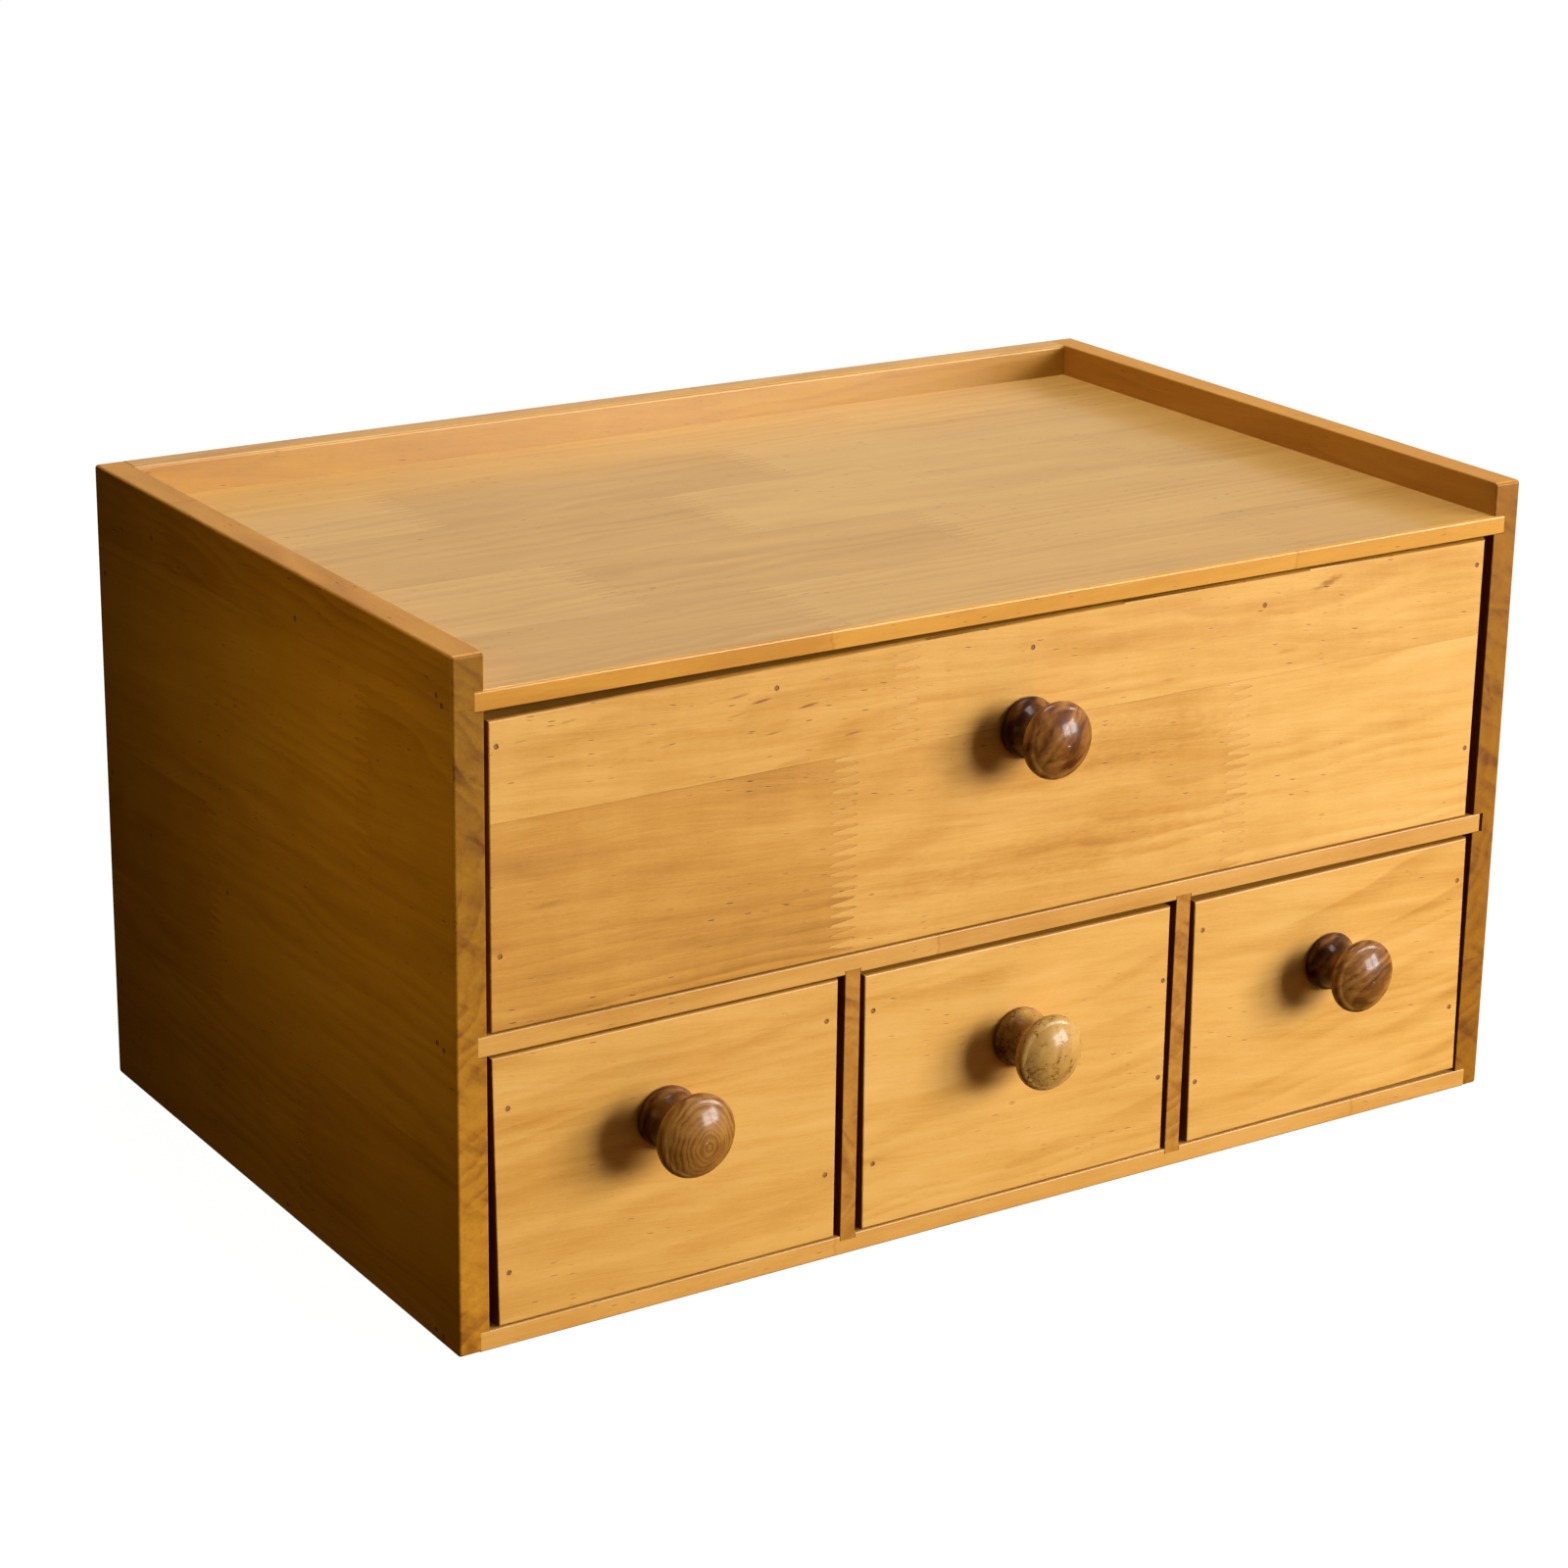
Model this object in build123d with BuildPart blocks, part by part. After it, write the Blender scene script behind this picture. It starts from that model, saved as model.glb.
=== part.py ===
from build123d import *
import os
from math import asin, cos, sin

os.makedirs("parts", exist_ok=True)

# Small chest of drawers for a desk: a softwood case with a shallow tray on
# top, one wide drawer above three small ones.  Millimetres, +Z up, the
# front faces -Y, and the origin is the centre of the case's underside.

# ---------------------------------------------------------------- case
case_width = 350.0
case_depth = 218.0
case_height = 189.5
side_thickness = 9.0
back_thickness = 9.0

top_low, top_high = 174.1, 179.6          # tray floor, under and upper face
shelf_low, shelf_high = 82.3, 88.0        # shelf between the drawer rows
bottom_low, bottom_high = 0.0, 5.7        # bottom panel, flush with the sides

left_dado_depth = 2.6                     # how far the panels enter the sides
right_dado_depth = 3.8
shelf_short = 1.2                         # shelf ends short of its right dado

divider_left_x = (-57.5, -52.4)
divider_right_x = (54.7, 60.0)
divider_into_shelf = 1.3
divider_into_bottom = 1.5

outer_ease = 0.9                          # worn outer arrises
inner_ease = 0.4

# ------------------------------------------------------------- drawers
front_thickness = 9.0
wall_thickness = 5.0
bottom_thickness = 3.0
groove_depth = 2.5                        # groove in walls for the bottom
front_groove_depth = 3.0
bottom_lift = 4.0                         # groove above the wall's low edge
rear_gap = 3.0                            # free space behind a closed drawer
run_gap = 0.3                             # free height under a drawer
front_ease = 0.7
wall_ease = 0.6

wide_wall_top = 169.5
small_wall_top = 79.0
rail_height = 9.0
rail_thickness = 6.0

# --------------------------------------------------------------- knobs
knob_flange_radius = 8.7
knob_neck_radius = 5.7
knob_head_radius = 10.9
knob_length = 20.1
knob_bore_radius = 1.75
knob_bore_depth = 12.5
screw_radius = 1.7
screw_head_radius = 3.6
screw_head_height = 2.2
screw_length = 20.0
screw_hole_radius = 2.1

# --------------------------------------------------------------- brads
brad_radius = 0.65
brad_hole_radius = 0.72
brad_sunk = 0.15
brad_length = 21.0
brad_hole_over = 0.4

# ------------------------------------------------------------- derived
half_width = case_width / 2
front_y = -case_depth / 2
rear_y = case_depth / 2
inner_left = -half_width + side_thickness
inner_right = half_width - side_thickness
back_front_y = rear_y - back_thickness
panel_length_y = back_front_y - front_y
panel_mid_y = (back_front_y + front_y) / 2
panel_left = inner_left - left_dado_depth
panel_right = inner_right + right_dado_depth
shelf_right = panel_right - shelf_short

front_rear_y = front_y + front_thickness
wall_rear_y = back_front_y - rear_gap
wall_length = wall_rear_y - front_rear_y
wall_mid_y = (wall_rear_y + front_rear_y) / 2

panels = {
    "top": (top_low, top_high),
    "shelf": (shelf_low, shelf_high),
    "bottom": (bottom_low, bottom_high),
}

# Brads through each side into the panel ends: pairs close to the front
# edge, then singles further back, and three more into the back panel.
left_side_brads = {
    "top": [(-101.1, 177.6), (-103.8, 175.6), (-22.0, 176.9), (70.0, 176.7)],
    "shelf": [(-99.1, 84.6), (-102.7, 83.6), (26.0, 84.6), (78.0, 85.3)],
    "bottom": [(-96.3, 2.9), (-100.4, 2.5), (-8.0, 2.8), (74.0, 3.0)],
    "back": [(104.4, 31.0), (104.7, 97.0), (104.3, 158.0)],
}
right_side_brads = {
    "top": [(-100.4, 176.2), (-103.9, 177.3), (-15.0, 176.8), (76.0, 177.0)],
    "shelf": [(-98.6, 85.9), (-102.4, 84.7), (12.0, 85.1), (80.0, 84.9)],
    "bottom": [(-97.0, 2.6), (-101.2, 3.0), (4.0, 2.9), (71.0, 2.7)],
    "back": [(104.6, 27.0), (104.4, 92.0), (104.5, 161.0)],
}
# Brads through the back panel: (x, z), into the panels and the dividers.
back_brads = {
    "top": [(-118.0, 176.9), (3.0, 176.7), (121.0, 177.0)],
    "shelf": [(-112.0, 85.2), (-3.0, 85.0), (116.0, 85.4)],
    "bottom": [(-124.0, 2.9), (6.0, 2.8), (119.0, 3.0)],
    "divider_left": [(-54.9, 24.0), (-55.1, 63.0)],
    "divider_right": [(57.4, 27.0), (57.3, 60.0)],
}
divider_brad_y = [-82.0, 4.0, 79.0]


def flat(brads, *names):
    return [p for n in names for p in brads[n]]


def along_x(points, x_from, x_to):
    return [((x_from + x_to) / 2, y, z) for y, z in points]


def along_y(points, y_from, y_to):
    return [(x, (y_from + y_to) / 2, z) for x, z in points]


def along_z(points, z_from, z_to):
    return [(x, y, (z_from + z_to) / 2) for x, y in points]


def dome_middle(rim_radius, rim_height, crown_height):
    # Halfway point of a spherical dome's arc, its centre on the axis.
    rise = crown_height - rim_height
    radius = (rim_radius**2 + rise**2) / (2 * rise)
    half = asin(rim_radius / radius) / 2
    return (radius * sin(half), crown_height - radius + radius * cos(half))


left_hole_from, left_hole_to = -half_width - 1, -half_width + brad_length + brad_hole_over
right_hole_from, right_hole_to = half_width - brad_length - brad_hole_over, half_width + 1
back_hole_from, back_hole_to = rear_y - brad_length - brad_hole_over, rear_y + 1
all_names = ("top", "shelf", "bottom", "back")

# ================================================================ case
# Left side: board with three dadoes on its inner face and brad holes.
with BuildPart() as case_left_side:
    with BuildSketch(Plane.YZ.offset(-half_width)):
        with Locations((0, case_height / 2)):
            Rectangle(case_depth, case_height)
    extrude(amount=side_thickness)
    fillet(case_left_side.edges().filter_by(Axis.X), 1.1)
    fillet(case_left_side.faces().sort_by(Axis.X)[0].edges(), outer_ease)
    fillet(case_left_side.faces().sort_by(Axis.X)[-1].edges(), inner_ease)
    with BuildSketch(Plane.YZ.offset(inner_left)):
        for low, high in panels.values():
            with Locations((panel_mid_y, (low + high) / 2)):
                Rectangle(panel_length_y, high - low)
    extrude(amount=-left_dado_depth, mode=Mode.SUBTRACT)
    with Locations(*along_x(flat(left_side_brads, *all_names), left_hole_from, left_hole_to)):
        Cylinder(brad_hole_radius, left_hole_to - left_hole_from, rotation=(0, 90, 0), mode=Mode.SUBTRACT)
case_left_side.part.label = "case_left_side"
export_step(case_left_side.part, "parts/case_left_side.step")

# Right side: its dadoes are a little deeper.
with BuildPart() as case_right_side:
    with BuildSketch(Plane.YZ.offset(inner_right)):
        with Locations((0, case_height / 2)):
            Rectangle(case_depth, case_height)
    extrude(amount=side_thickness)
    fillet(case_right_side.edges().filter_by(Axis.X), 1.1)
    fillet(case_right_side.faces().sort_by(Axis.X)[-1].edges(), outer_ease)
    fillet(case_right_side.faces().sort_by(Axis.X)[0].edges(), inner_ease)
    with BuildSketch(Plane.YZ.offset(inner_right)):
        for low, high in panels.values():
            with Locations((panel_mid_y, (low + high) / 2)):
                Rectangle(panel_length_y, high - low)
    extrude(amount=right_dado_depth, mode=Mode.SUBTRACT)
    with Locations(*along_x(flat(right_side_brads, *all_names), right_hole_from, right_hole_to)):
        Cylinder(brad_hole_radius, right_hole_to - right_hole_from, rotation=(0, 90, 0), mode=Mode.SUBTRACT)
case_right_side.part.label = "case_right_side"
export_step(case_right_side.part, "parts/case_right_side.step")

# Back panel: full height between the sides, its top edge is the back lip.
with BuildPart() as case_back_panel:
    with BuildSketch(Plane.XZ.offset(-rear_y)):
        with Locations((0, case_height / 2)):
            Rectangle(inner_right - inner_left, case_height)
    extrude(amount=back_thickness)
    fillet(case_back_panel.edges().filter_by(Axis.X).group_by(Axis.Z)[-1], outer_ease)
    fillet(case_back_panel.edges().filter_by(Axis.X).group_by(Axis.Z)[0].sort_by(Axis.Y)[-1:], outer_ease)
    with Locations(*along_y(flat(back_brads, *back_brads), back_hole_from, back_hole_to)):
        Cylinder(brad_hole_radius, back_hole_to - back_hole_from, rotation=(90, 0, 0), mode=Mode.SUBTRACT)
    with Locations(*along_x(left_side_brads["back"], left_hole_from, left_hole_to)):
        Cylinder(brad_hole_radius, left_hole_to - left_hole_from, rotation=(0, 90, 0), mode=Mode.SUBTRACT)
    with Locations(*along_x(right_side_brads["back"], right_hole_from, right_hole_to)):
        Cylinder(brad_hole_radius, right_hole_to - right_hole_from, rotation=(0, 90, 0), mode=Mode.SUBTRACT)
case_back_panel.part.label = "case_back_panel"
export_step(case_back_panel.part, "parts/case_back_panel.step")

# Top panel: the tray floor, 10 mm below the rim of the case.
with BuildPart() as case_top_panel:
    with BuildSketch(Plane.XY.offset(top_low)):
        with Locations(((panel_left + panel_right) / 2, panel_mid_y)):
            Rectangle(panel_right - panel_left, panel_length_y)
    extrude(amount=top_high - top_low)
    front_arrises = case_top_panel.edges().filter_by(Axis.X).group_by(Axis.Y)[0]
    fillet(front_arrises.sort_by(Axis.Z)[-1:], 0.8)
    fillet(case_top_panel.edges().filter_by(Axis.X).group_by(Axis.Y)[0].sort_by(Axis.Z)[:1], inner_ease)
    with Locations(*along_x(left_side_brads["top"], left_hole_from, left_hole_to)):
        Cylinder(brad_hole_radius, left_hole_to - left_hole_from, rotation=(0, 90, 0), mode=Mode.SUBTRACT)
    with Locations(*along_x(right_side_brads["top"], right_hole_from, right_hole_to)):
        Cylinder(brad_hole_radius, right_hole_to - right_hole_from, rotation=(0, 90, 0), mode=Mode.SUBTRACT)
    with Locations(*along_y(back_brads["top"], back_hole_from, back_hole_to)):
        Cylinder(brad_hole_radius, back_hole_to - back_hole_from, rotation=(90, 0, 0), mode=Mode.SUBTRACT)
case_top_panel.part.label = "case_top_panel"
export_step(case_top_panel.part, "parts/case_top_panel.step")

divider_points = [(sum(divider_left_x) / 2, y) for y in divider_brad_y] + [
    (sum(divider_right_x) / 2, y) for y in divider_brad_y
]
upper_from, upper_to = shelf_high - brad_length - brad_hole_over, shelf_high + 1
lower_from, lower_to = bottom_low - 1, bottom_low + brad_length + brad_hole_over

# Middle shelf: carries the wide drawer, grooved below for the dividers.
with BuildPart() as case_middle_shelf:
    with BuildSketch(Plane.XY.offset(shelf_low)):
        with Locations(((panel_left + shelf_right) / 2, panel_mid_y)):
            Rectangle(shelf_right - panel_left, panel_length_y)
    extrude(amount=shelf_high - shelf_low)
    fillet(case_middle_shelf.edges().filter_by(Axis.X).group_by(Axis.Y)[0], inner_ease)
    with BuildSketch(Plane.XY.offset(shelf_low)):
        for x0, x1 in (divider_left_x, divider_right_x):
            with Locations(((x0 + x1) / 2, panel_mid_y)):
                Rectangle(x1 - x0, panel_length_y)
    extrude(amount=divider_into_shelf, mode=Mode.SUBTRACT)
    with Locations(*along_x(left_side_brads["shelf"], left_hole_from, left_hole_to)):
        Cylinder(brad_hole_radius, left_hole_to - left_hole_from, rotation=(0, 90, 0), mode=Mode.SUBTRACT)
    with Locations(*along_x(right_side_brads["shelf"], right_hole_from, right_hole_to)):
        Cylinder(brad_hole_radius, right_hole_to - right_hole_from, rotation=(0, 90, 0), mode=Mode.SUBTRACT)
    with Locations(*along_y(back_brads["shelf"], back_hole_from, back_hole_to)):
        Cylinder(brad_hole_radius, back_hole_to - back_hole_from, rotation=(90, 0, 0), mode=Mode.SUBTRACT)
    with Locations(*along_z(divider_points, upper_from, upper_to)):
        Cylinder(brad_hole_radius, upper_to - upper_from, mode=Mode.SUBTRACT)
case_middle_shelf.part.label = "case_middle_shelf"
export_step(case_middle_shelf.part, "parts/case_middle_shelf.step")

# Bottom panel: grooved above for the dividers.
with BuildPart() as case_bottom_panel:
    with BuildSketch(Plane.XY.offset(bottom_low)):
        with Locations(((panel_left + panel_right) / 2, panel_mid_y)):
            Rectangle(panel_right - panel_left, panel_length_y)
    extrude(amount=bottom_high - bottom_low)
    fillet(case_bottom_panel.edges().filter_by(Axis.X).group_by(Axis.Y)[0].sort_by(Axis.Z)[:1], 0.7)
    fillet(case_bottom_panel.edges().filter_by(Axis.X).group_by(Axis.Y)[0].sort_by(Axis.Z)[-1:], inner_ease)
    with BuildSketch(Plane.XY.offset(bottom_high)):
        for x0, x1 in (divider_left_x, divider_right_x):
            with Locations(((x0 + x1) / 2, panel_mid_y)):
                Rectangle(x1 - x0, panel_length_y)
    extrude(amount=-divider_into_bottom, mode=Mode.SUBTRACT)
    with Locations(*along_x(left_side_brads["bottom"], left_hole_from, left_hole_to)):
        Cylinder(brad_hole_radius, left_hole_to - left_hole_from, rotation=(0, 90, 0), mode=Mode.SUBTRACT)
    with Locations(*along_x(right_side_brads["bottom"], right_hole_from, right_hole_to)):
        Cylinder(brad_hole_radius, right_hole_to - right_hole_from, rotation=(0, 90, 0), mode=Mode.SUBTRACT)
    with Locations(*along_y(back_brads["bottom"], back_hole_from, back_hole_to)):
        Cylinder(brad_hole_radius, back_hole_to - back_hole_from, rotation=(90, 0, 0), mode=Mode.SUBTRACT)
    with Locations(*along_z(divider_points, lower_from, lower_to)):
        Cylinder(brad_hole_radius, lower_to - lower_from, mode=Mode.SUBTRACT)
case_bottom_panel.part.label = "case_bottom_panel"
export_step(case_bottom_panel.part, "parts/case_bottom_panel.step")

divider_low = bottom_high - divider_into_bottom
divider_high = shelf_low + divider_into_shelf

# Left divider, between the left and the middle drawer.
with BuildPart() as case_divider_left:
    with BuildSketch(Plane.YZ.offset(divider_left_x[0])):
        with Locations((panel_mid_y, (divider_low + divider_high) / 2)):
            Rectangle(panel_length_y, divider_high - divider_low)
    extrude(amount=divider_left_x[1] - divider_left_x[0])
    fillet(case_divider_left.edges().filter_by(Axis.Z).group_by(Axis.Y)[0], inner_ease)
    with Locations(*along_z(divider_points, upper_from, upper_to)):
        Cylinder(brad_hole_radius, upper_to - upper_from, mode=Mode.SUBTRACT)
    with Locations(*along_z(divider_points, lower_from, lower_to)):
        Cylinder(brad_hole_radius, lower_to - lower_from, mode=Mode.SUBTRACT)
    with Locations(*along_y(back_brads["divider_left"], back_hole_from, back_hole_to)):
        Cylinder(brad_hole_radius, back_hole_to - back_hole_from, rotation=(90, 0, 0), mode=Mode.SUBTRACT)
case_divider_left.part.label = "case_divider_left"
export_step(case_divider_left.part, "parts/case_divider_left.step")

# Right divider, between the middle and the right drawer.
with BuildPart() as case_divider_right:
    with BuildSketch(Plane.YZ.offset(divider_right_x[0])):
        with Locations((panel_mid_y, (divider_low + divider_high) / 2)):
            Rectangle(panel_length_y, divider_high - divider_low)
    extrude(amount=divider_right_x[1] - divider_right_x[0])
    fillet(case_divider_right.edges().filter_by(Axis.Z).group_by(Axis.Y)[0], inner_ease)
    with Locations(*along_z(divider_points, upper_from, upper_to)):
        Cylinder(brad_hole_radius, upper_to - upper_from, mode=Mode.SUBTRACT)
    with Locations(*along_z(divider_points, lower_from, lower_to)):
        Cylinder(brad_hole_radius, lower_to - lower_from, mode=Mode.SUBTRACT)
    with Locations(*along_y(back_brads["divider_right"], back_hole_from, back_hole_to)):
        Cylinder(brad_hole_radius, back_hole_to - back_hole_from, rotation=(90, 0, 0), mode=Mode.SUBTRACT)
case_divider_right.part.label = "case_divider_right"
export_step(case_divider_right.part, "parts/case_divider_right.step")

# Brads, each set below the surface.
brad_body = brad_length - brad_sunk
with BuildPart() as case_left_nails:
    with Locations(*along_x(flat(left_side_brads, *all_names), -half_width + brad_sunk, -half_width + brad_length)):
        Cylinder(brad_radius, brad_body, rotation=(0, 90, 0))
case_left_nails.part.label = "case_left_nails"
export_step(case_left_nails.part, "parts/case_left_nails.step")

with BuildPart() as case_right_nails:
    with Locations(*along_x(flat(right_side_brads, *all_names), half_width - brad_length, half_width - brad_sunk)):
        Cylinder(brad_radius, brad_body, rotation=(0, 90, 0))
case_right_nails.part.label = "case_right_nails"
export_step(case_right_nails.part, "parts/case_right_nails.step")

with BuildPart() as case_back_nails:
    with Locations(*along_y(flat(back_brads, *back_brads), rear_y - brad_length, rear_y - brad_sunk)):
        Cylinder(brad_radius, brad_body, rotation=(90, 0, 0))
case_back_nails.part.label = "case_back_nails"
export_step(case_back_nails.part, "parts/case_back_nails.step")

with BuildPart() as case_divider_nails:
    with Locations(*along_z(divider_points, shelf_high - brad_length, shelf_high - brad_sunk)):
        Cylinder(brad_radius, brad_body)
    with Locations(*along_z(divider_points, bottom_low + brad_sunk, bottom_low + brad_length)):
        Cylinder(brad_radius, brad_body)
case_divider_nails.part.label = "case_divider_nails"
export_step(case_divider_nails.part, "parts/case_divider_nails.step")

# ============================================================= drawers
# Each drawer: the corners of its front as (x, z), none quite square, then
# the outer faces of its two walls, its heights, its knob and its brads.
wide_low = shelf_high + run_gap
small_low = bottom_high + run_gap
drawers = [
    {
        "name": "wide_drawer",
        "low_left": (-165.1, wide_low),
        "low_right": (163.0, wide_low),
        "top_right": (163.0, 173.7),
        "top_left": (-165.1, 171.5),
        "top_bow": (-30.0, 173.1),
        "walls": (-165.1, 163.0),
        "low": wide_low,
        "wall_top": wide_wall_top,
        "knob": (0.0, 143.0),
        "knob_head": knob_head_radius,
        "knob_length": knob_length - 0.9,
        "brads": [(-162.8, 164.5), (-162.2, 108.8), (160.2, 165.9), (160.6, 110.0)],
        "rail_brads": [(-80.6, 166.6), (1.1, 165.2), (81.2, 165.3)],
        "back_brads": [104.0, 132.0, 160.0],
        "bottom_brads": [-120.0, -40.0, 40.0, 120.0],
    },
    {
        "name": "left_drawer",
        "low_left": (-163.5, small_low),
        "low_right": (-59.3, small_low),
        "top_right": (-59.5, 81.7),
        "top_left": (-165.1, 81.7),
        "walls": (-163.2, -60.3),
        "low": small_low,
        "wall_top": small_wall_top,
        "knob": (-113.1, 54.3),
        "knob_head": knob_head_radius + 0.7,
        "knob_length": knob_length + 0.2,
        "brads": [(-160.3, 66.9), (-160.3, 20.8), (-63.2, 70.4), (-62.8, 25.4)],
        "back_brads": [24.0, 66.0],
        "bottom_brads": [-134.0, -90.0],
    },
    {
        "name": "middle_drawer",
        "low_left": (-50.5, small_low),
        "low_right": (53.4, small_low),
        "top_right": (52.9, 80.9),
        "top_left": (-51.3, 81.1),
        "walls": (-50.4, 52.9),
        "low": small_low,
        "wall_top": small_wall_top,
        "knob": (1.0, 52.6),
        "knob_head": knob_head_radius,
        "knob_length": knob_length - 0.7,
        "brads": [(-48.2, 70.3), (-47.2, 25.0), (51.2, 58.7), (51.0, 29.0)],
        "back_brads": [22.0, 64.0],
        "bottom_brads": [-22.0, 25.0],
    },
    {
        "name": "right_drawer",
        "low_left": (62.6, small_low),
        "low_right": (165.5, small_low + 0.7),
        "top_right": (164.1, 81.3),
        "top_left": (61.3, 80.6),
        "walls": (62.3, 164.2),
        "low": small_low,
        "wall_top": small_wall_top,
        "knob": (112.8, 52.6),
        "knob_head": knob_head_radius,
        "knob_length": knob_length,
        "brads": [(64.8, 71.3), (64.7, 24.6), (161.8, 27.6), (161.4, 68.2)],
        "back_brads": [25.0, 65.0],
        "bottom_brads": [90.0, 136.0],
    },
]

for d in drawers:
    name = d["name"]
    left_out, right_out = d["walls"]
    left_in, right_in = left_out + wall_thickness, right_out - wall_thickness
    low, wall_top = d["low"], d["wall_top"]
    bottom_from = low + bottom_lift
    bottom_to = bottom_from + bottom_thickness
    knob_x, knob_z = d["knob"]
    front_hole_from = front_y - 1
    front_hole_to = front_y + brad_length + brad_hole_over
    back_y = wall_rear_y - wall_thickness / 2
    rail_brads = d.get("rail_brads", [])
    wall_hole = 16.0
    left_wall_holes = [(left_out - 1 + wall_hole / 2, back_y, z) for z in d["back_brads"]]
    right_wall_holes = [(right_out + 1 - wall_hole / 2, back_y, z) for z in d["back_brads"]]
    bottom_holes = [(x, back_y, bottom_from - 1 + wall_hole / 2) for x in d["bottom_brads"]]

    # Front board with a stopped groove for the bottom, brad holes and the
    # clearance hole of the knob's screw.
    with BuildPart() as front:
        with BuildSketch(Plane.XZ.offset(-front_rear_y)):
            with BuildLine():
                Line(d["low_left"], d["low_right"])
                Line(d["low_right"], d["top_right"])
                if "top_bow" in d:
                    ThreePointArc(d["top_right"], d["top_bow"], d["top_left"])
                else:
                    Line(d["top_right"], d["top_left"])
                Line(d["top_left"], d["low_left"])
            make_face()
        extrude(amount=front_thickness)
        fillet(front.faces().sort_by(Axis.Y)[0].edges(), front_ease)
        with BuildSketch(Plane.XZ.offset(-front_rear_y)):
            with Locations(((left_in + right_in) / 2, (bottom_from + bottom_to) / 2)):
                Rectangle(right_in - left_in + 2 * groove_depth, bottom_thickness)
        extrude(amount=front_groove_depth, mode=Mode.SUBTRACT)
        with Locations(*along_y(d["brads"] + rail_brads, front_hole_from, front_hole_to)):
            Cylinder(brad_hole_radius, front_hole_to - front_hole_from, rotation=(90, 0, 0), mode=Mode.SUBTRACT)
        with Locations((knob_x, front_y, knob_z)):
            Cylinder(screw_hole_radius, 4 * front_thickness, rotation=(90, 0, 0), mode=Mode.SUBTRACT)
    front.part.label = name + "_front"
    export_step(front.part, "parts/" + name + "_front.step")

    # Walls, butted against the front, grooved inside for the bottom.
    with BuildPart() as left_wall:
        with BuildSketch(Plane.YZ.offset(left_out)):
            with Locations((wall_mid_y, (low + wall_top) / 2)):
                Rectangle(wall_length, wall_top - low)
        extrude(amount=wall_thickness)
        fillet(left_wall.edges().filter_by(Axis.Y).group_by(Axis.Z)[-1], wall_ease)
        with BuildSketch(Plane.YZ.offset(left_in)):
            with Locations((wall_mid_y, (bottom_from + bottom_to) / 2)):
                Rectangle(wall_length, bottom_thickness)
        extrude(amount=-groove_depth, mode=Mode.SUBTRACT)
        with Locations(*along_y(d["brads"], front_hole_from, front_hole_to)):
            Cylinder(brad_hole_radius, front_hole_to - front_hole_from, rotation=(90, 0, 0), mode=Mode.SUBTRACT)
        with Locations(*left_wall_holes):
            Cylinder(brad_hole_radius, wall_hole, rotation=(0, 90, 0), mode=Mode.SUBTRACT)
    left_wall.part.label = name + "_left_wall"
    export_step(left_wall.part, "parts/" + name + "_left_wall.step")

    with BuildPart() as right_wall:
        with BuildSketch(Plane.YZ.offset(right_in)):
            with Locations((wall_mid_y, (low + wall_top) / 2)):
                Rectangle(wall_length, wall_top - low)
        extrude(amount=wall_thickness)
        fillet(right_wall.edges().filter_by(Axis.Y).group_by(Axis.Z)[-1], wall_ease)
        with BuildSketch(Plane.YZ.offset(right_in)):
            with Locations((wall_mid_y, (bottom_from + bottom_to) / 2)):
                Rectangle(wall_length, bottom_thickness)
        extrude(amount=groove_depth, mode=Mode.SUBTRACT)
        with Locations(*along_y(d["brads"], front_hole_from, front_hole_to)):
            Cylinder(brad_hole_radius, front_hole_to - front_hole_from, rotation=(90, 0, 0), mode=Mode.SUBTRACT)
        with Locations(*right_wall_holes):
            Cylinder(brad_hole_radius, wall_hole, rotation=(0, 90, 0), mode=Mode.SUBTRACT)
    right_wall.part.label = name + "_right_wall"
    export_step(right_wall.part, "parts/" + name + "_right_wall.step")

    # Back board, between the walls and on top of the bottom.
    with BuildPart() as back:
        with BuildSketch(Plane.XZ.offset(-wall_rear_y)):
            with Locations(((left_in + right_in) / 2, (bottom_to + wall_top) / 2)):
                Rectangle(right_in - left_in, wall_top - bottom_to)
        extrude(amount=wall_thickness)
        fillet(back.edges().filter_by(Axis.X).group_by(Axis.Z)[-1], wall_ease)
        with Locations(*left_wall_holes, *right_wall_holes):
            Cylinder(brad_hole_radius, wall_hole, rotation=(0, 90, 0), mode=Mode.SUBTRACT)
        with Locations(*bottom_holes):
            Cylinder(brad_hole_radius, wall_hole, mode=Mode.SUBTRACT)
    back.part.label = name + "_back"
    export_step(back.part, "parts/" + name + "_back.step")

    # Thin bottom, let into the front and the walls.
    with BuildPart() as bottom:
        with BuildSketch(Plane.XY.offset(bottom_from)):
            with Locations(((left_in + right_in) / 2, (front_rear_y - front_groove_depth + wall_rear_y) / 2)):
                Rectangle(right_in - left_in + 2 * groove_depth, wall_length + front_groove_depth)
        extrude(amount=bottom_thickness)
        with Locations(*bottom_holes):
            Cylinder(brad_hole_radius, wall_hole, mode=Mode.SUBTRACT)
    bottom.part.label = name + "_bottom"
    export_step(bottom.part, "parts/" + name + "_bottom.step")

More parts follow.
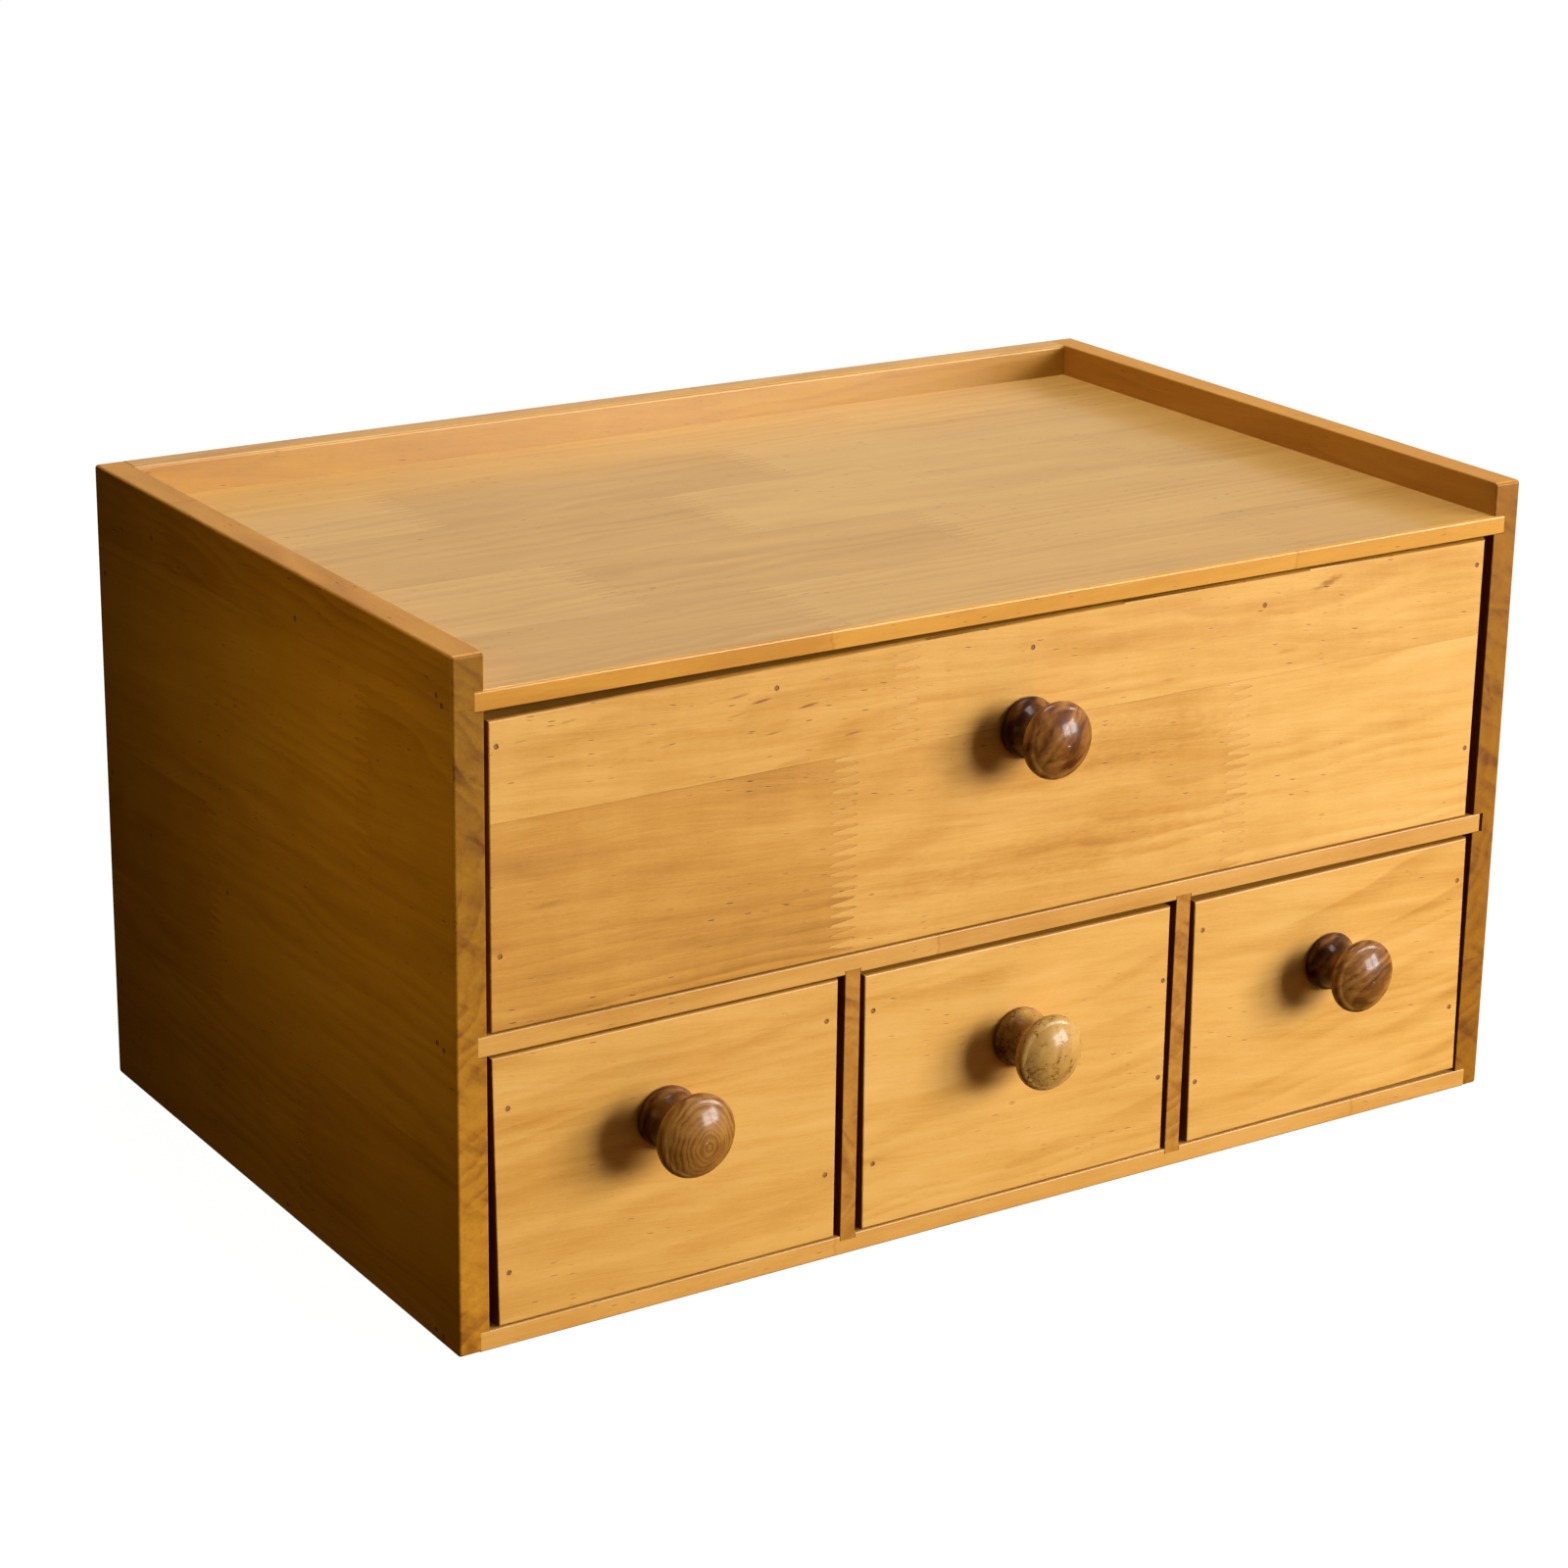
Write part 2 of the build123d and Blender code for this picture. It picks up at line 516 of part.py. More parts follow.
    # Turned knob: flange, waisted neck, domed head with a fine rim.
    r, length = d["knob_head"], d["knob_length"]
    with BuildPart() as knob:
        with BuildSketch(Plane(origin=(knob_x, front_y, knob_z), x_dir=(1, 0, 0), z_dir=(0, 0, -1))):
            with BuildLine():
                Line((0, 0), (knob_flange_radius - 0.3, 0))
                ThreePointArc(
                    (knob_flange_radius - 0.3, 0),
                    (knob_flange_radius, 1.1),
                    (knob_flange_radius - 0.5, 2.2),
                )
                Spline(
                    (knob_flange_radius - 0.5, 2.2),
                    (knob_neck_radius + 0.9, 4.4),
                    (knob_neck_radius, 7.2),
                    (knob_neck_radius + 1.1, 10.2),
                    (r - 1.7, length - 7.4),
                    tangents=((-1, 0.55), (1, 0.62)),
                )
                ThreePointArc((r - 1.7, length - 7.4), (r, length - 5.0), (r - 1.1, length - 3.5))
                Line((r - 1.1, length - 3.5), (r - 1.7, length - 3.2))
                ThreePointArc(
                    (r - 1.7, length - 3.2),
                    dome_middle(r - 1.7, length - 3.2, length),
                    (0, length),
                )
                Line((0, length), (0, 0))
            make_face()
        revolve(axis=Axis((knob_x, front_y, knob_z), (0, -1, 0)))
        with Locations((knob_x, front_y, knob_z)):
            Cylinder(knob_bore_radius, 2 * knob_bore_depth, rotation=(90, 0, 0), mode=Mode.SUBTRACT)
    knob.part.label = name + "_knob"
    export_step(knob.part, "parts/" + name + "_knob.step")

    # Pan-head screw from inside the drawer, cross recess in its head.
    with BuildPart() as knob_screw:
        with BuildSketch(Plane(origin=(knob_x, front_rear_y, knob_z), x_dir=(1, 0, 0), z_dir=(0, 0, 1))):
            with BuildLine():
                Line((0, 0), (screw_head_radius, 0))
                Line((screw_head_radius, 0), (screw_head_radius, 0.6))
                ThreePointArc(
                    (screw_head_radius, 0.6),
                    dome_middle(screw_head_radius, 0.6, screw_head_height),
                    (0, screw_head_height),
                )
                Line((0, screw_head_height), (0, 0))
            make_face()
        revolve(axis=Axis((knob_x, front_rear_y, knob_z), (0, 1, 0)))
        with Locations((knob_x, front_rear_y - screw_length / 2, knob_z)):
            Cylinder(screw_radius, screw_length, rotation=(90, 0, 0))
        with Locations((knob_x, front_rear_y + screw_head_height, knob_z)):
            Box(0.9, 2.2, 4.2, mode=Mode.SUBTRACT)
            Box(4.2, 2.2, 0.9, mode=Mode.SUBTRACT)
    knob_screw.part.label = name + "_knob_screw"
    export_step(knob_screw.part, "parts/" + name + "_knob_screw.step")

    # Brads of this drawer: front into walls, walls into back, bottom into
    # back, and on the wide drawer the front into its top rail.
    with BuildPart() as nails:
        with Locations(*along_y(d["brads"], front_y + brad_sunk, front_y + brad_length)):
            Cylinder(brad_radius, brad_body, rotation=(90, 0, 0))
        with Locations(*[(left_out + brad_sunk + 7.0, back_y, z) for z in d["back_brads"]]):
            Cylinder(brad_radius, 14.0, rotation=(0, 90, 0))
        with Locations(*[(right_out - brad_sunk - 7.0, back_y, z) for z in d["back_brads"]]):
            Cylinder(brad_radius, 14.0, rotation=(0, 90, 0))
        with Locations(*[(x, back_y, bottom_from + brad_sunk + 7.0) for x in d["bottom_brads"]]):
            Cylinder(brad_radius, 14.0)
        if rail_brads:
            with Locations(*along_y(rail_brads, front_y + brad_sunk, front_y + front_thickness + rail_thickness - 1.0)):
                Cylinder(brad_radius, front_thickness + rail_thickness - 1.0 - brad_sunk, rotation=(90, 0, 0))
    nails.part.label = name + "_nails"
    export_step(nails.part, "parts/" + name + "_nails.step")

    # Rail behind the top edge of the wide drawer's front.
    if rail_brads:
        with BuildPart() as rail:
            with BuildSketch(Plane.XZ.offset(-front_rear_y - rail_thickness)):
                with Locations(((left_in + right_in) / 2, wall_top - rail_height / 2)):
                    Rectangle(right_in - left_in, rail_height)
            extrude(amount=rail_thickness)
            fillet(rail.edges().filter_by(Axis.X).group_by(Axis.Y)[-1], wall_ease)
            with Locations(*along_y(rail_brads, front_y - 1, front_y + front_thickness + rail_thickness - 0.6)):
                Cylinder(brad_hole_radius, front_thickness + rail_thickness + 0.4, rotation=(90, 0, 0), mode=Mode.SUBTRACT)
        rail.part.label = name + "_front_rail"
        export_step(rail.part, "parts/" + name + "_front_rail.step")
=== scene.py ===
import math
import random

import bpy
from mathutils import Matrix, Vector


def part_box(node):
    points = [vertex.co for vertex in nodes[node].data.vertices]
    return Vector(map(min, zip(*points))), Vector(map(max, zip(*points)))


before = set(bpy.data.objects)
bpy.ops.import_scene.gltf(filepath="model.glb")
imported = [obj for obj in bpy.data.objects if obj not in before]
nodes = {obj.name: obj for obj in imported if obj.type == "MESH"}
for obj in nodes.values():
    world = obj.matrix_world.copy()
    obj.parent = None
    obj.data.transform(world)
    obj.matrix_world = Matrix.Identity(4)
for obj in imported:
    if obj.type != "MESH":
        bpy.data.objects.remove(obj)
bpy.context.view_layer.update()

# Everything below is written in millimetres where a name says mm; Blender's
# own units are metres.
AX = {"x": 0, "y": 1, "z": 2}


# ------------------------------------------------------------- node maker
class Graph:
    """A material's node tree, with short calls for sums and patterns."""

    def __init__(self, name):
        self.mat = bpy.data.materials.new(name)
        self.mat.use_nodes = True
        self.tree = self.mat.node_tree
        self.tree.nodes.clear()
        self.count = 0

    def put(self, kind, **props):
        n = self.tree.nodes.new(kind)
        n.location = (220 * (self.count % 12), -240 * (self.count // 12))
        self.count += 1
        for k, v in props.items():
            setattr(n, k, v)
        return n

    def feed(self, socket, value):
        if value is None:
            return
        if isinstance(value, bpy.types.NodeSocket):
            self.tree.links.new(value, socket)
        else:
            socket.default_value = value

    def m(self, op, a, b=None, c=None, clamp=False):
        n = self.put("ShaderNodeMath", operation=op, use_clamp=clamp)
        for i, v in enumerate((a, b, c)):
            self.feed(n.inputs[i], v)
        return n.outputs[0]

    def add(self, *v):
        out = v[0]
        for x in v[1:]:
            out = self.m("ADD", out, x)
        return out

    def mul(self, a, b):
        return self.m("MULTIPLY", a, b)

    def sub(self, a, b):
        return self.m("SUBTRACT", a, b)

    def madd(self, a, b, c):
        return self.m("MULTIPLY_ADD", a, b, c)

    def lerp(self, f, a, b):
        n = self.put("ShaderNodeMix", data_type="FLOAT", clamp_factor=True)
        self.feed(n.inputs[0], f)
        self.feed(n.inputs[2], a)
        self.feed(n.inputs[3], b)
        return n.outputs[0]

    def step(self, v, lo, hi, to=(0.0, 1.0)):
        n = self.put("ShaderNodeMapRange", interpolation_type="SMOOTHSTEP", clamp=True)
        self.feed(n.inputs[0], v)
        self.feed(n.inputs[1], lo)
        self.feed(n.inputs[2], hi)
        self.feed(n.inputs[3], to[0])
        self.feed(n.inputs[4], to[1])
        return n.outputs[0]

    def xyz(self, x, y, z):
        n = self.put("ShaderNodeCombineXYZ")
        for i, v in enumerate((x, y, z)):
            self.feed(n.inputs[i], v)
        return n.outputs[0]

    def split(self, v):
        n = self.put("ShaderNodeSeparateXYZ")
        self.feed(n.inputs[0], v)
        return n.outputs[0], n.outputs[1], n.outputs[2]

    def noise(self, v, detail=2.0, rough=0.5, distortion=0.0):
        n = self.put("ShaderNodeTexNoise", noise_dimensions="3D")
        self.feed(n.inputs["Vector"], v)
        n.inputs["Scale"].default_value = 1.0
        n.inputs["Detail"].default_value = detail
        n.inputs["Roughness"].default_value = rough
        n.inputs["Distortion"].default_value = distortion
        return n.outputs["Fac"] if "Fac" in n.outputs else n.outputs[0]

    def cells(self, v, feature="F1", randomness=1.0):
        n = self.put("ShaderNodeTexVoronoi", voronoi_dimensions="3D", feature=feature)
        self.feed(n.inputs["Vector"], v)
        n.inputs["Scale"].default_value = 1.0
        n.inputs["Randomness"].default_value = randomness
        if feature == "DISTANCE_TO_EDGE":
            return n.outputs["Distance"], None
        return n.outputs["Distance"], n.outputs["Color"]

    def ramp(self, f, stops, kind="LINEAR"):
        n = self.put("ShaderNodeValToRGB")
        n.color_ramp.interpolation = kind
        els = n.color_ramp.elements
        while len(els) > 1:
            els.remove(els[-1])
        els[0].position = stops[0][0]
        els[0].color = (*stops[0][1], 1.0)
        for p, c in stops[1:]:
            e = els.new(p)
            e.color = (*c, 1.0)
        self.feed(n.inputs[0], f)
        return n.outputs[0]

    def mix(self, f, a, b, mode="MIX"):
        n = self.put("ShaderNodeMix", data_type="RGBA", blend_type=mode, clamp_factor=True)
        self.feed(n.inputs[0], f)
        self.feed(n.inputs[6], (*a, 1.0) if isinstance(a, tuple) else a)
        self.feed(n.inputs[7], (*b, 1.0) if isinstance(b, tuple) else b)
        return n.outputs[2]

    def grey(self, v):
        n = self.put("ShaderNodeCombineColor")
        for i in range(3):
            self.feed(n.inputs[i], v)
        return n.outputs[0]

    def finish(self, colour, rough, height, bump_mm, **fixed):
        out = self.put("ShaderNodeOutputMaterial")
        p = self.put("ShaderNodeBsdfPrincipled")
        self.feed(p.inputs["Base Color"], colour)
        self.feed(p.inputs["Roughness"], rough)
        b = self.put("ShaderNodeBump")
        b.inputs["Strength"].default_value = 1.0
        b.inputs["Distance"].default_value = bump_mm / 1000
        self.feed(b.inputs["Height"], height)
        self.tree.links.new(b.outputs[0], p.inputs["Normal"])
        for k, v in fixed.items():
            p.inputs[k].default_value = v
        self.tree.links.new(p.outputs[0], out.inputs[0])
        return self.mat


# ------------------------------------------------------------ wood boards
# Stops from the darkest streak to the palest stave, linear colour.
HONEY = [
    (0.00, (0.170, 0.056, 0.007)),
    (0.22, (0.385, 0.158, 0.022)),
    (0.42, (0.570, 0.272, 0.045)),
    (0.60, (0.700, 0.378, 0.088)),
    (0.80, (0.800, 0.478, 0.148)),
    (1.00, (0.865, 0.575, 0.230)),
]
TAWNY = [
    (0.00, (0.120, 0.040, 0.007)),
    (0.22, (0.300, 0.122, 0.022)),
    (0.42, (0.490, 0.232, 0.050)),
    (0.60, (0.620, 0.330, 0.092)),
    (0.80, (0.715, 0.420, 0.145)),
    (1.00, (0.790, 0.525, 0.230)),
]
SIDE = [
    (0.00, (0.145, 0.040, 0.003)),
    (0.22, (0.330, 0.115, 0.009)),
    (0.42, (0.510, 0.208, 0.019)),
    (0.60, (0.630, 0.283, 0.036)),
    (0.80, (0.720, 0.370, 0.072)),
    (1.00, (0.790, 0.470, 0.145)),
]
TRAY = [
    (0.00, (0.160, 0.062, 0.010)),
    (0.22, (0.350, 0.160, 0.028)),
    (0.42, (0.530, 0.272, 0.055)),
    (0.60, (0.650, 0.362, 0.088)),
    (0.80, (0.735, 0.443, 0.130)),
    (1.00, (0.800, 0.535, 0.195)),
]
RAW = [
    (0.00, (0.230, 0.110, 0.036)),
    (0.22, (0.440, 0.250, 0.095)),
    (0.42, (0.590, 0.375, 0.165)),
    (0.60, (0.690, 0.470, 0.235)),
    (0.80, (0.760, 0.555, 0.310)),
    (1.00, (0.830, 0.655, 0.420)),
]


def wood(name, box_mm, grain, stack, staves, ramp, seed, *, tilt=(0.03, 0.02), ring_mm=4.6,
         rings=0.10, streak=0.16, fleck=0.35, stains=(), marks=(), end_dark=0.70,
         joints=True, rough=0.40, centre=(0.35, -34.0), stave_contrast=0.55, slope=0.0,
         fleck_spots=(), flame=None, mottle=0.10, cross=0.0, hatch=0.16, end_tint=None,
         strokes=0.0, end_low=None, faces=(), coat=(0.22, 0.28), specular=0.5, arris_wear_and_shade=0.045):
    """A glued board. staves: (upper limit in mm along the stack axis, tones of
    its pieces from low to high along the grain, joints between them in mm).
    faces: (axis, side, tint, upper limit in mm or None), tints multiplied onto
    the faces turned that way; most are painted shade in gaps, under boards and inside the case."""
    g = Graph(name)
    tc = g.put("ShaderNodeTexCoord")
    sc = g.put("ShaderNodeVectorMath", operation="SCALE")
    g.feed(sc.inputs[0], tc.outputs["Object"])
    sc.inputs["Scale"].default_value = 1000.0
    p = g.split(sc.outputs[0])
    nrm = g.split(tc.outputs["Normal"])
    lo, hi = box_mm
    ia, js = AX[grain], AX[stack]
    kt = 3 - ia - js
    a, s, t = p[ia], p[js], p[kt]
    rnd = random.Random(seed)

    # which stave, which piece of it
    s_low, s_high = lo[js] - 1.0, hi[js] + 1.0
    wob = g.noise(g.xyz(g.mul(a, 0.02), g.mul(s, 0.02), float(seed)), 1.0)
    s_seam = g.madd(wob, 1.2, s)
    if slope:
        s_seam = g.madd(a, -slope, s_seam)
    f = g.m("DIVIDE", g.sub(s_seam, s_low), s_high - s_low)
    a_low, a_high = lo[ia] - 60.0, hi[ia] + 60.0
    tones, joints_at, at = [], [], 0.0
    for top, pieces, cuts in staves:
        pc = (list(pieces) + [pieces[-1]] * 3)[:3]
        ct = ([(c - a_low) / (a_high - a_low) for c in cuts] + [1.0, 1.0])[:2]
        tones.append((max(0.0, min(at, 0.9999)), tuple(pc)))
        joints_at.append((max(0.0, min(at, 0.9999)), (ct[0], ct[1], rnd.uniform(0.05, 0.95))))
        at = (top - s_low) / (s_high - s_low)
    tone3 = g.put("ShaderNodeSeparateColor")
    g.feed(tone3.inputs[0], g.ramp(f, tones, "CONSTANT"))
    cut3 = g.put("ShaderNodeSeparateColor")
    g.feed(cut3.inputs[0], g.ramp(f, joints_at, "CONSTANT"))
    seed_s = cut3.outputs[2]
    near3 = g.put("ShaderNodeSeparateColor")
    g.feed(near3.inputs[0], g.ramp(g.m("ADD", f, 0.22 / (s_high - s_low)), joints_at, "CONSTANT"))
    seam = g.m("GREATER_THAN", g.m("ABSOLUTE", g.sub(near3.outputs[2], seed_s)), 0.0005)

    if joints:
        jit = g.noise(g.xyz(g.mul(a, 0.2), g.mul(s, 0.45), g.mul(t, 0.2)), 2.0)
        tri = g.m("ABSOLUTE", g.sub(g.m("FRACT", g.m("DIVIDE", s, 2.9)), 0.5))
        comb = g.step(tri, 0.08, 0.40)
        zig = g.madd(g.add(g.lerp(0.65, tri, g.mul(comb, 0.5)), g.mul(g.sub(jit, 0.5), 0.20)), 16.0, -4.0)
        # inside the board's thickness the fingers end a little early
        d1 = g.sub(g.sub(a, zig), g.madd(cut3.outputs[0], a_high - a_low, a_low))
        d2 = g.sub(g.sub(a, zig), g.madd(cut3.outputs[1], a_high - a_low, a_low))
        z1, z2 = g.step(d1, -0.35, 0.35), g.step(d2, -0.35, 0.35)
        glue = g.m("MAXIMUM", g.step(g.m("ABSOLUTE", d1), 0.1, 0.75, (1.0, 0.0)),
                   g.step(g.m("ABSOLUTE", d2), 0.1, 0.75, (1.0, 0.0)))
        tone = g.lerp(z2, g.lerp(z1, tone3.outputs[0], tone3.outputs[1]), tone3.outputs[2])
        piece = g.add(g.m("GREATER_THAN", d1, 0.0), g.m("GREATER_THAN", d2, 0.0))
    else:
        glue, tone, piece = 0.0, tone3.outputs[0], 0.0
    key = g.madd(piece, 0.37, seed_s)

    # the piece's own place in its tree
    ka = g.mul(key, 913.0)
    kb = g.mul(key, 377.0)
    a2, s2, t2 = g.add(a, ka), g.add(s, kb), g.add(t, g.mul(key, 131.0))
    hash1 = g.m("FRACT", g.mul(key, 17.31))
    hash2 = g.m("FRACT", g.mul(key, 41.77))
    slow = g.noise(g.xyz(g.mul(a2, 0.011), g.mul(s2, 0.035), g.mul(t2, 0.035)), 2.0, 0.5)
    slow2 = g.noise(g.xyz(g.mul(a2, 0.016), g.mul(s2, 0.05), g.madd(t2, 0.05, 7.7)), 2.0, 0.5)
    s_mid = (lo[js] + hi[js]) / 2
    sc_ = g.add(g.madd(g.sub(hash1, centre[0]), 70.0, s_mid), g.mul(g.sub(slow, 0.5), 15.0), g.mul(a, tilt[0]))
    tc_ = g.add(g.madd(g.sub(hash2, 0.5), 24.0, (lo[kt] + hi[kt]) / 2 + centre[1]),
                g.mul(g.sub(slow2, 0.5), 14.0), g.mul(a, tilt[1]))
    ds, dt = g.sub(s, sc_), g.sub(t, tc_)
    radius = g.m("SQRT", g.add(g.mul(ds, ds), g.mul(dt, dt)))
    yearly = g.noise(g.xyz(g.mul(radius, 0.16), key, 3.0), 1.0)
    turn = g.m("FRACT", g.add(g.m("DIVIDE", radius, ring_mm), g.mul(yearly, 1.6)))
    late = g.mul(g.step(turn, 0.10, 0.74), g.step(turn, 0.76, 1.0, (1.0, 0.0)))
    soft = g.noise(g.xyz(g.mul(a2, 0.008), g.mul(s2, 0.06), g.madd(t2, 0.06, 2.2)), 1.0)
    late = g.mul(late, g.step(soft, 0.36, 0.66, (0.12, 1.0)))

    # streaks and fibres, long along the grain
    bend = g.mul(g.sub(slow, 0.5), 9.0)
    sb = g.add(s2, bend, g.mul(a, tilt[0] * 1.5))
    broad = g.noise(g.xyz(g.mul(a2, 0.010), g.mul(sb, 0.085), g.mul(t2, 0.085)), 3.0, 0.55)
    mid = g.noise(g.xyz(g.mul(a2, 0.022), g.mul(sb, 0.42), g.mul(t2, 0.42)), 3.0, 0.6)
    fine = g.noise(g.xyz(g.mul(a2, 0.055), g.mul(sb, 2.3), g.mul(t2, 2.3)), 2.0, 0.6)
    fibre = g.noise(g.xyz(g.mul(a2, 0.25), g.mul(sb, 7.5), g.mul(t2, 7.5)), 1.0, 0.5)
    pores = g.noise(g.xyz(g.mul(a2, 0.55), g.mul(sb, 2.1), g.mul(t2, 2.1)), 3.0, 0.75)
    cloud = g.noise(g.xyz(g.mul(a2, 0.030), g.mul(s2, 0.045), g.mul(t2, 0.045)), 3.0, 0.6)

    # short dark pore dashes
    fd, fc = g.cells(g.xyz(g.mul(a2, 0.17), g.mul(sb, 1.15), g.mul(t2, 1.15)))
    fr = g.put("ShaderNodeSeparateColor")
    g.feed(fr.inputs[0], fc)
    thin = g.step(fd, 0.10, 0.26, (1.0, 0.0))
    patch = g.noise(g.xyz(g.mul(a2, 0.012), g.mul(s2, 0.05), g.madd(t2, 0.05, 9.1)), 1.0)
    dash = g.mul(g.mul(thin, g.step(fr.outputs[0], 0.70, 0.98)), g.step(patch, 0.44, 0.62, (0.15, 1.0)))
    for (ca, cs_, ra, rs, k) in fleck_spots:
        qa, qs = g.m("DIVIDE", g.sub(a, ca), ra), g.m("DIVIDE", g.sub(s, cs_), rs)
        near = g.step(g.m("SQRT", g.add(g.mul(qa, qa), g.mul(qs, qs))), 0.4, 1.0, (1.0, 0.0))
        fd2, fc2 = g.cells(g.xyz(g.mul(a, 0.085), g.mul(g.madd(a, -0.10, s), 0.62), g.mul(t, 0.62)))
        fr2 = g.put("ShaderNodeSeparateColor")
        g.feed(fr2.inputs[0], fc2)
        more = g.mul(g.step(fd2, 0.12, 0.34, (1.0, 0.0)), g.step(fr2.outputs[1], 0.55, 0.8))
        dash = g.m("MAXIMUM", dash, g.mul(g.mul(near, more), k))

    v = g.madd(g.sub(tone, 0.5), stave_contrast, 0.56)
    v = g.madd(g.sub(broad, 0.5), streak * 1.5, v)
    v = g.madd(g.sub(mid, 0.5), streak, v)
    v = g.madd(g.sub(fine, 0.5), streak * 0.80, v)
    v = g.madd(g.sub(fibre, 0.5), streak * 0.42, v)
    v = g.madd(g.sub(pores, 0.5), hatch, v)
    v = g.madd(g.step(pores, 0.60, 0.74), -hatch * 0.55, v)
    v = g.madd(g.sub(cloud, 0.5), mottle * 2.0, v)
    v = g.madd(late, -rings, v)
    if flame:
        # a few long tapering lines that sweep across the board
        (fa, fs, k1, k2, gap, amount) = flame
        ua = g.sub(a, fa)
        curve = g.add(g.sub(s, fs), g.mul(ua, -k1), g.mul(g.mul(ua, ua), -k2), g.mul(g.sub(slow, 0.5), 10.0))
        turn2 = g.m("FRACT", g.m("DIVIDE", g.madd(g.noise(g.xyz(g.mul(curve, 0.11), 4.0, float(seed)), 1.0), 9.0, curve), gap))
        line = g.mul(g.step(turn2, 0.50, 0.86), g.step(turn2, 0.88, 1.0, (1.0, 0.0)))
        fade = g.noise(g.xyz(g.mul(a2, 0.018), g.mul(s2, 0.03), 1.0), 1.0)
        v = g.madd(g.mul(line, g.step(fade, 0.38, 0.62)), -amount, v)
    if cross:
        # faint ripple across the grain, seen as soft light and dark bars
        rip = g.noise(g.xyz(g.mul(a2, 0.16), g.mul(s2, 0.03), g.mul(t2, 0.03)), 2.0, 0.5)
        v = g.madd(g.sub(rip, 0.5), cross, v)
    v = g.madd(dash, -fleck, v)
    v = g.madd(glue, -0.10, v)
    v = g.madd(seam, -0.035, v)

    end = g.step(g.m("ABSOLUTE", nrm[ia]), 0.55, 0.90)
    big = g.m("MAXIMUM", g.m("ABSOLUTE", nrm[0]), g.m("MAXIMUM", g.m("ABSOLUTE", nrm[1]), g.m("ABSOLUTE", nrm[2])))
    arris = g.step(big, 0.90, 0.995, (1.0, 0.0))
    # end grain: shorter noise, ring arcs stronger, darker finish
    spot = g.noise(g.xyz(g.mul(a2, 0.9), g.mul(s2, 0.9), g.mul(t2, 0.9)), 3.0, 0.65)
    patchy = g.noise(g.xyz(g.mul(a2, 0.11), g.mul(s2, 0.11), g.mul(t2, 0.11)), 2.0, 0.5)
    ev = g.add(g.madd(g.sub(spot, 0.5), 0.26, 0.54), g.mul(late, -0.16), g.mul(g.sub(patchy, 0.5), 0.50),
               g.mul(g.step(patchy, 0.58, 0.70), -0.16))
    if strokes:
        # rays cut across: slanting dark strokes on the end grain
        sa_, sb_ = g.madd(t, 0.75, s), g.madd(s, -0.75, t)
        stroke = g.noise(g.xyz(g.mul(sa_, 0.17), g.mul(sb_, 0.036), float(seed)), 2.0, 0.5)
        ev = g.madd(g.step(stroke, 0.47, 0.70), -strokes, ev)
    v = g.lerp(end, v, ev)
    # Arris wear and painted shade: a positive amount lightens the rubbed arrises, a negative one darkens them as
    # painted shade against the light they catch.
    arris_wear_and_shade_mask = g.mul(arris, g.step(g.noise(g.xyz(g.mul(a2, 0.05), g.mul(s2, 0.3), g.mul(t2, 0.3)), 2.0), 0.30, 0.66, (0.25, 1.0)))
    v = g.madd(arris_wear_and_shade_mask, arris_wear_and_shade, v)

    marks_h = None
    for (ca, cs_, ra, rs, lean, depth) in marks:
        qa, qs = g.sub(a, ca), g.sub(s, cs_)
        la = g.m("DIVIDE", g.madd(qs, -lean, qa), ra)
        ls = g.m("DIVIDE", g.madd(qa, -lean, qs), rs)
        d = g.m("SQRT", g.add(g.mul(la, la), g.mul(ls, ls)))
        d = g.madd(g.sub(g.noise(g.xyz(g.mul(a, 0.25), g.mul(s, 0.9), 5.0), 2.0), 0.5), 1.1, d)
        v = g.madd(g.step(d, 0.15, 1.05, (1.0, 0.0)), -depth, v)
    col = g.ramp(v, ramp)
    tint = end_tint or (end_dark, end_dark * 0.95, end_dark * 0.82)
    if end_low:
        # the end grain is tinted lighter towards the bottom
        tint = g.mix(g.step(p[2], 10.0, 175.0), end_low, tint)
    dark = g.mix(end, (1.0, 1.0, 1.0), tint)
    col = g.mix(1.0, col, dark, "MULTIPLY")
    # Painted shade: the listed faces are darkened where they sit in gaps, under boards and inside the case.
    for axis, side, tint, below in faces:
        here = g.step(g.mul(nrm[AX[axis]], float(side)), 0.35, 0.75)
        if below is not None:
            here = g.mul(here, g.step(p[2], below - 0.5, below + 0.5, (1.0, 0.0)))
        col = g.mix(1.0, col, g.mix(here, (1.0, 1.0, 1.0), tint), "MULTIPLY")
    # soaked-in finish round each brad
    hole = None
    for (ca, cs_, side) in stains:
        if side == "a":      # seen on the face whose normal is the thickness axis
            qa, qs = g.sub(a, ca), g.sub(s, cs_)
        else:
            qa, qs = g.sub(t, ca), g.sub(s, cs_)
        d = g.m("SQRT", g.add(g.mul(qa, qa), g.mul(qs, qs)))
        hole = d if hole is None else g.m("MINIMUM", hole, d)
    if hole is not None:
        edge = g.madd(g.sub(spot, 0.5), 0.9, hole)
        col = g.mix(g.step(edge, 0.45, 1.10, (0.26, 0.0)), col, (0.24, 0.075, 0.014))
    # thin lacquer, rubbed smoother on the arrises
    r = g.add(g.madd(g.sub(mid, 0.5), 0.16, rough), g.mul(dash, 0.18), g.mul(end, 0.10), g.mul(arris_wear_and_shade_mask, -0.06),
              g.mul(g.sub(cloud, 0.5), 0.10))
    h = g.add(g.mul(fine, 0.30), g.mul(fibre, 0.20), g.mul(mid, 0.35), g.mul(dash, -0.9),
              g.mul(seam, -0.8), g.mul(glue, -0.5), g.mul(late, 0.25), g.mul(g.mul(end, spot), 0.5))
    return g.finish(col, r, h, 0.045, **{"Specular IOR Level": specular, "Coat Weight": coat[0],
                                         "Coat Roughness": coat[1]})


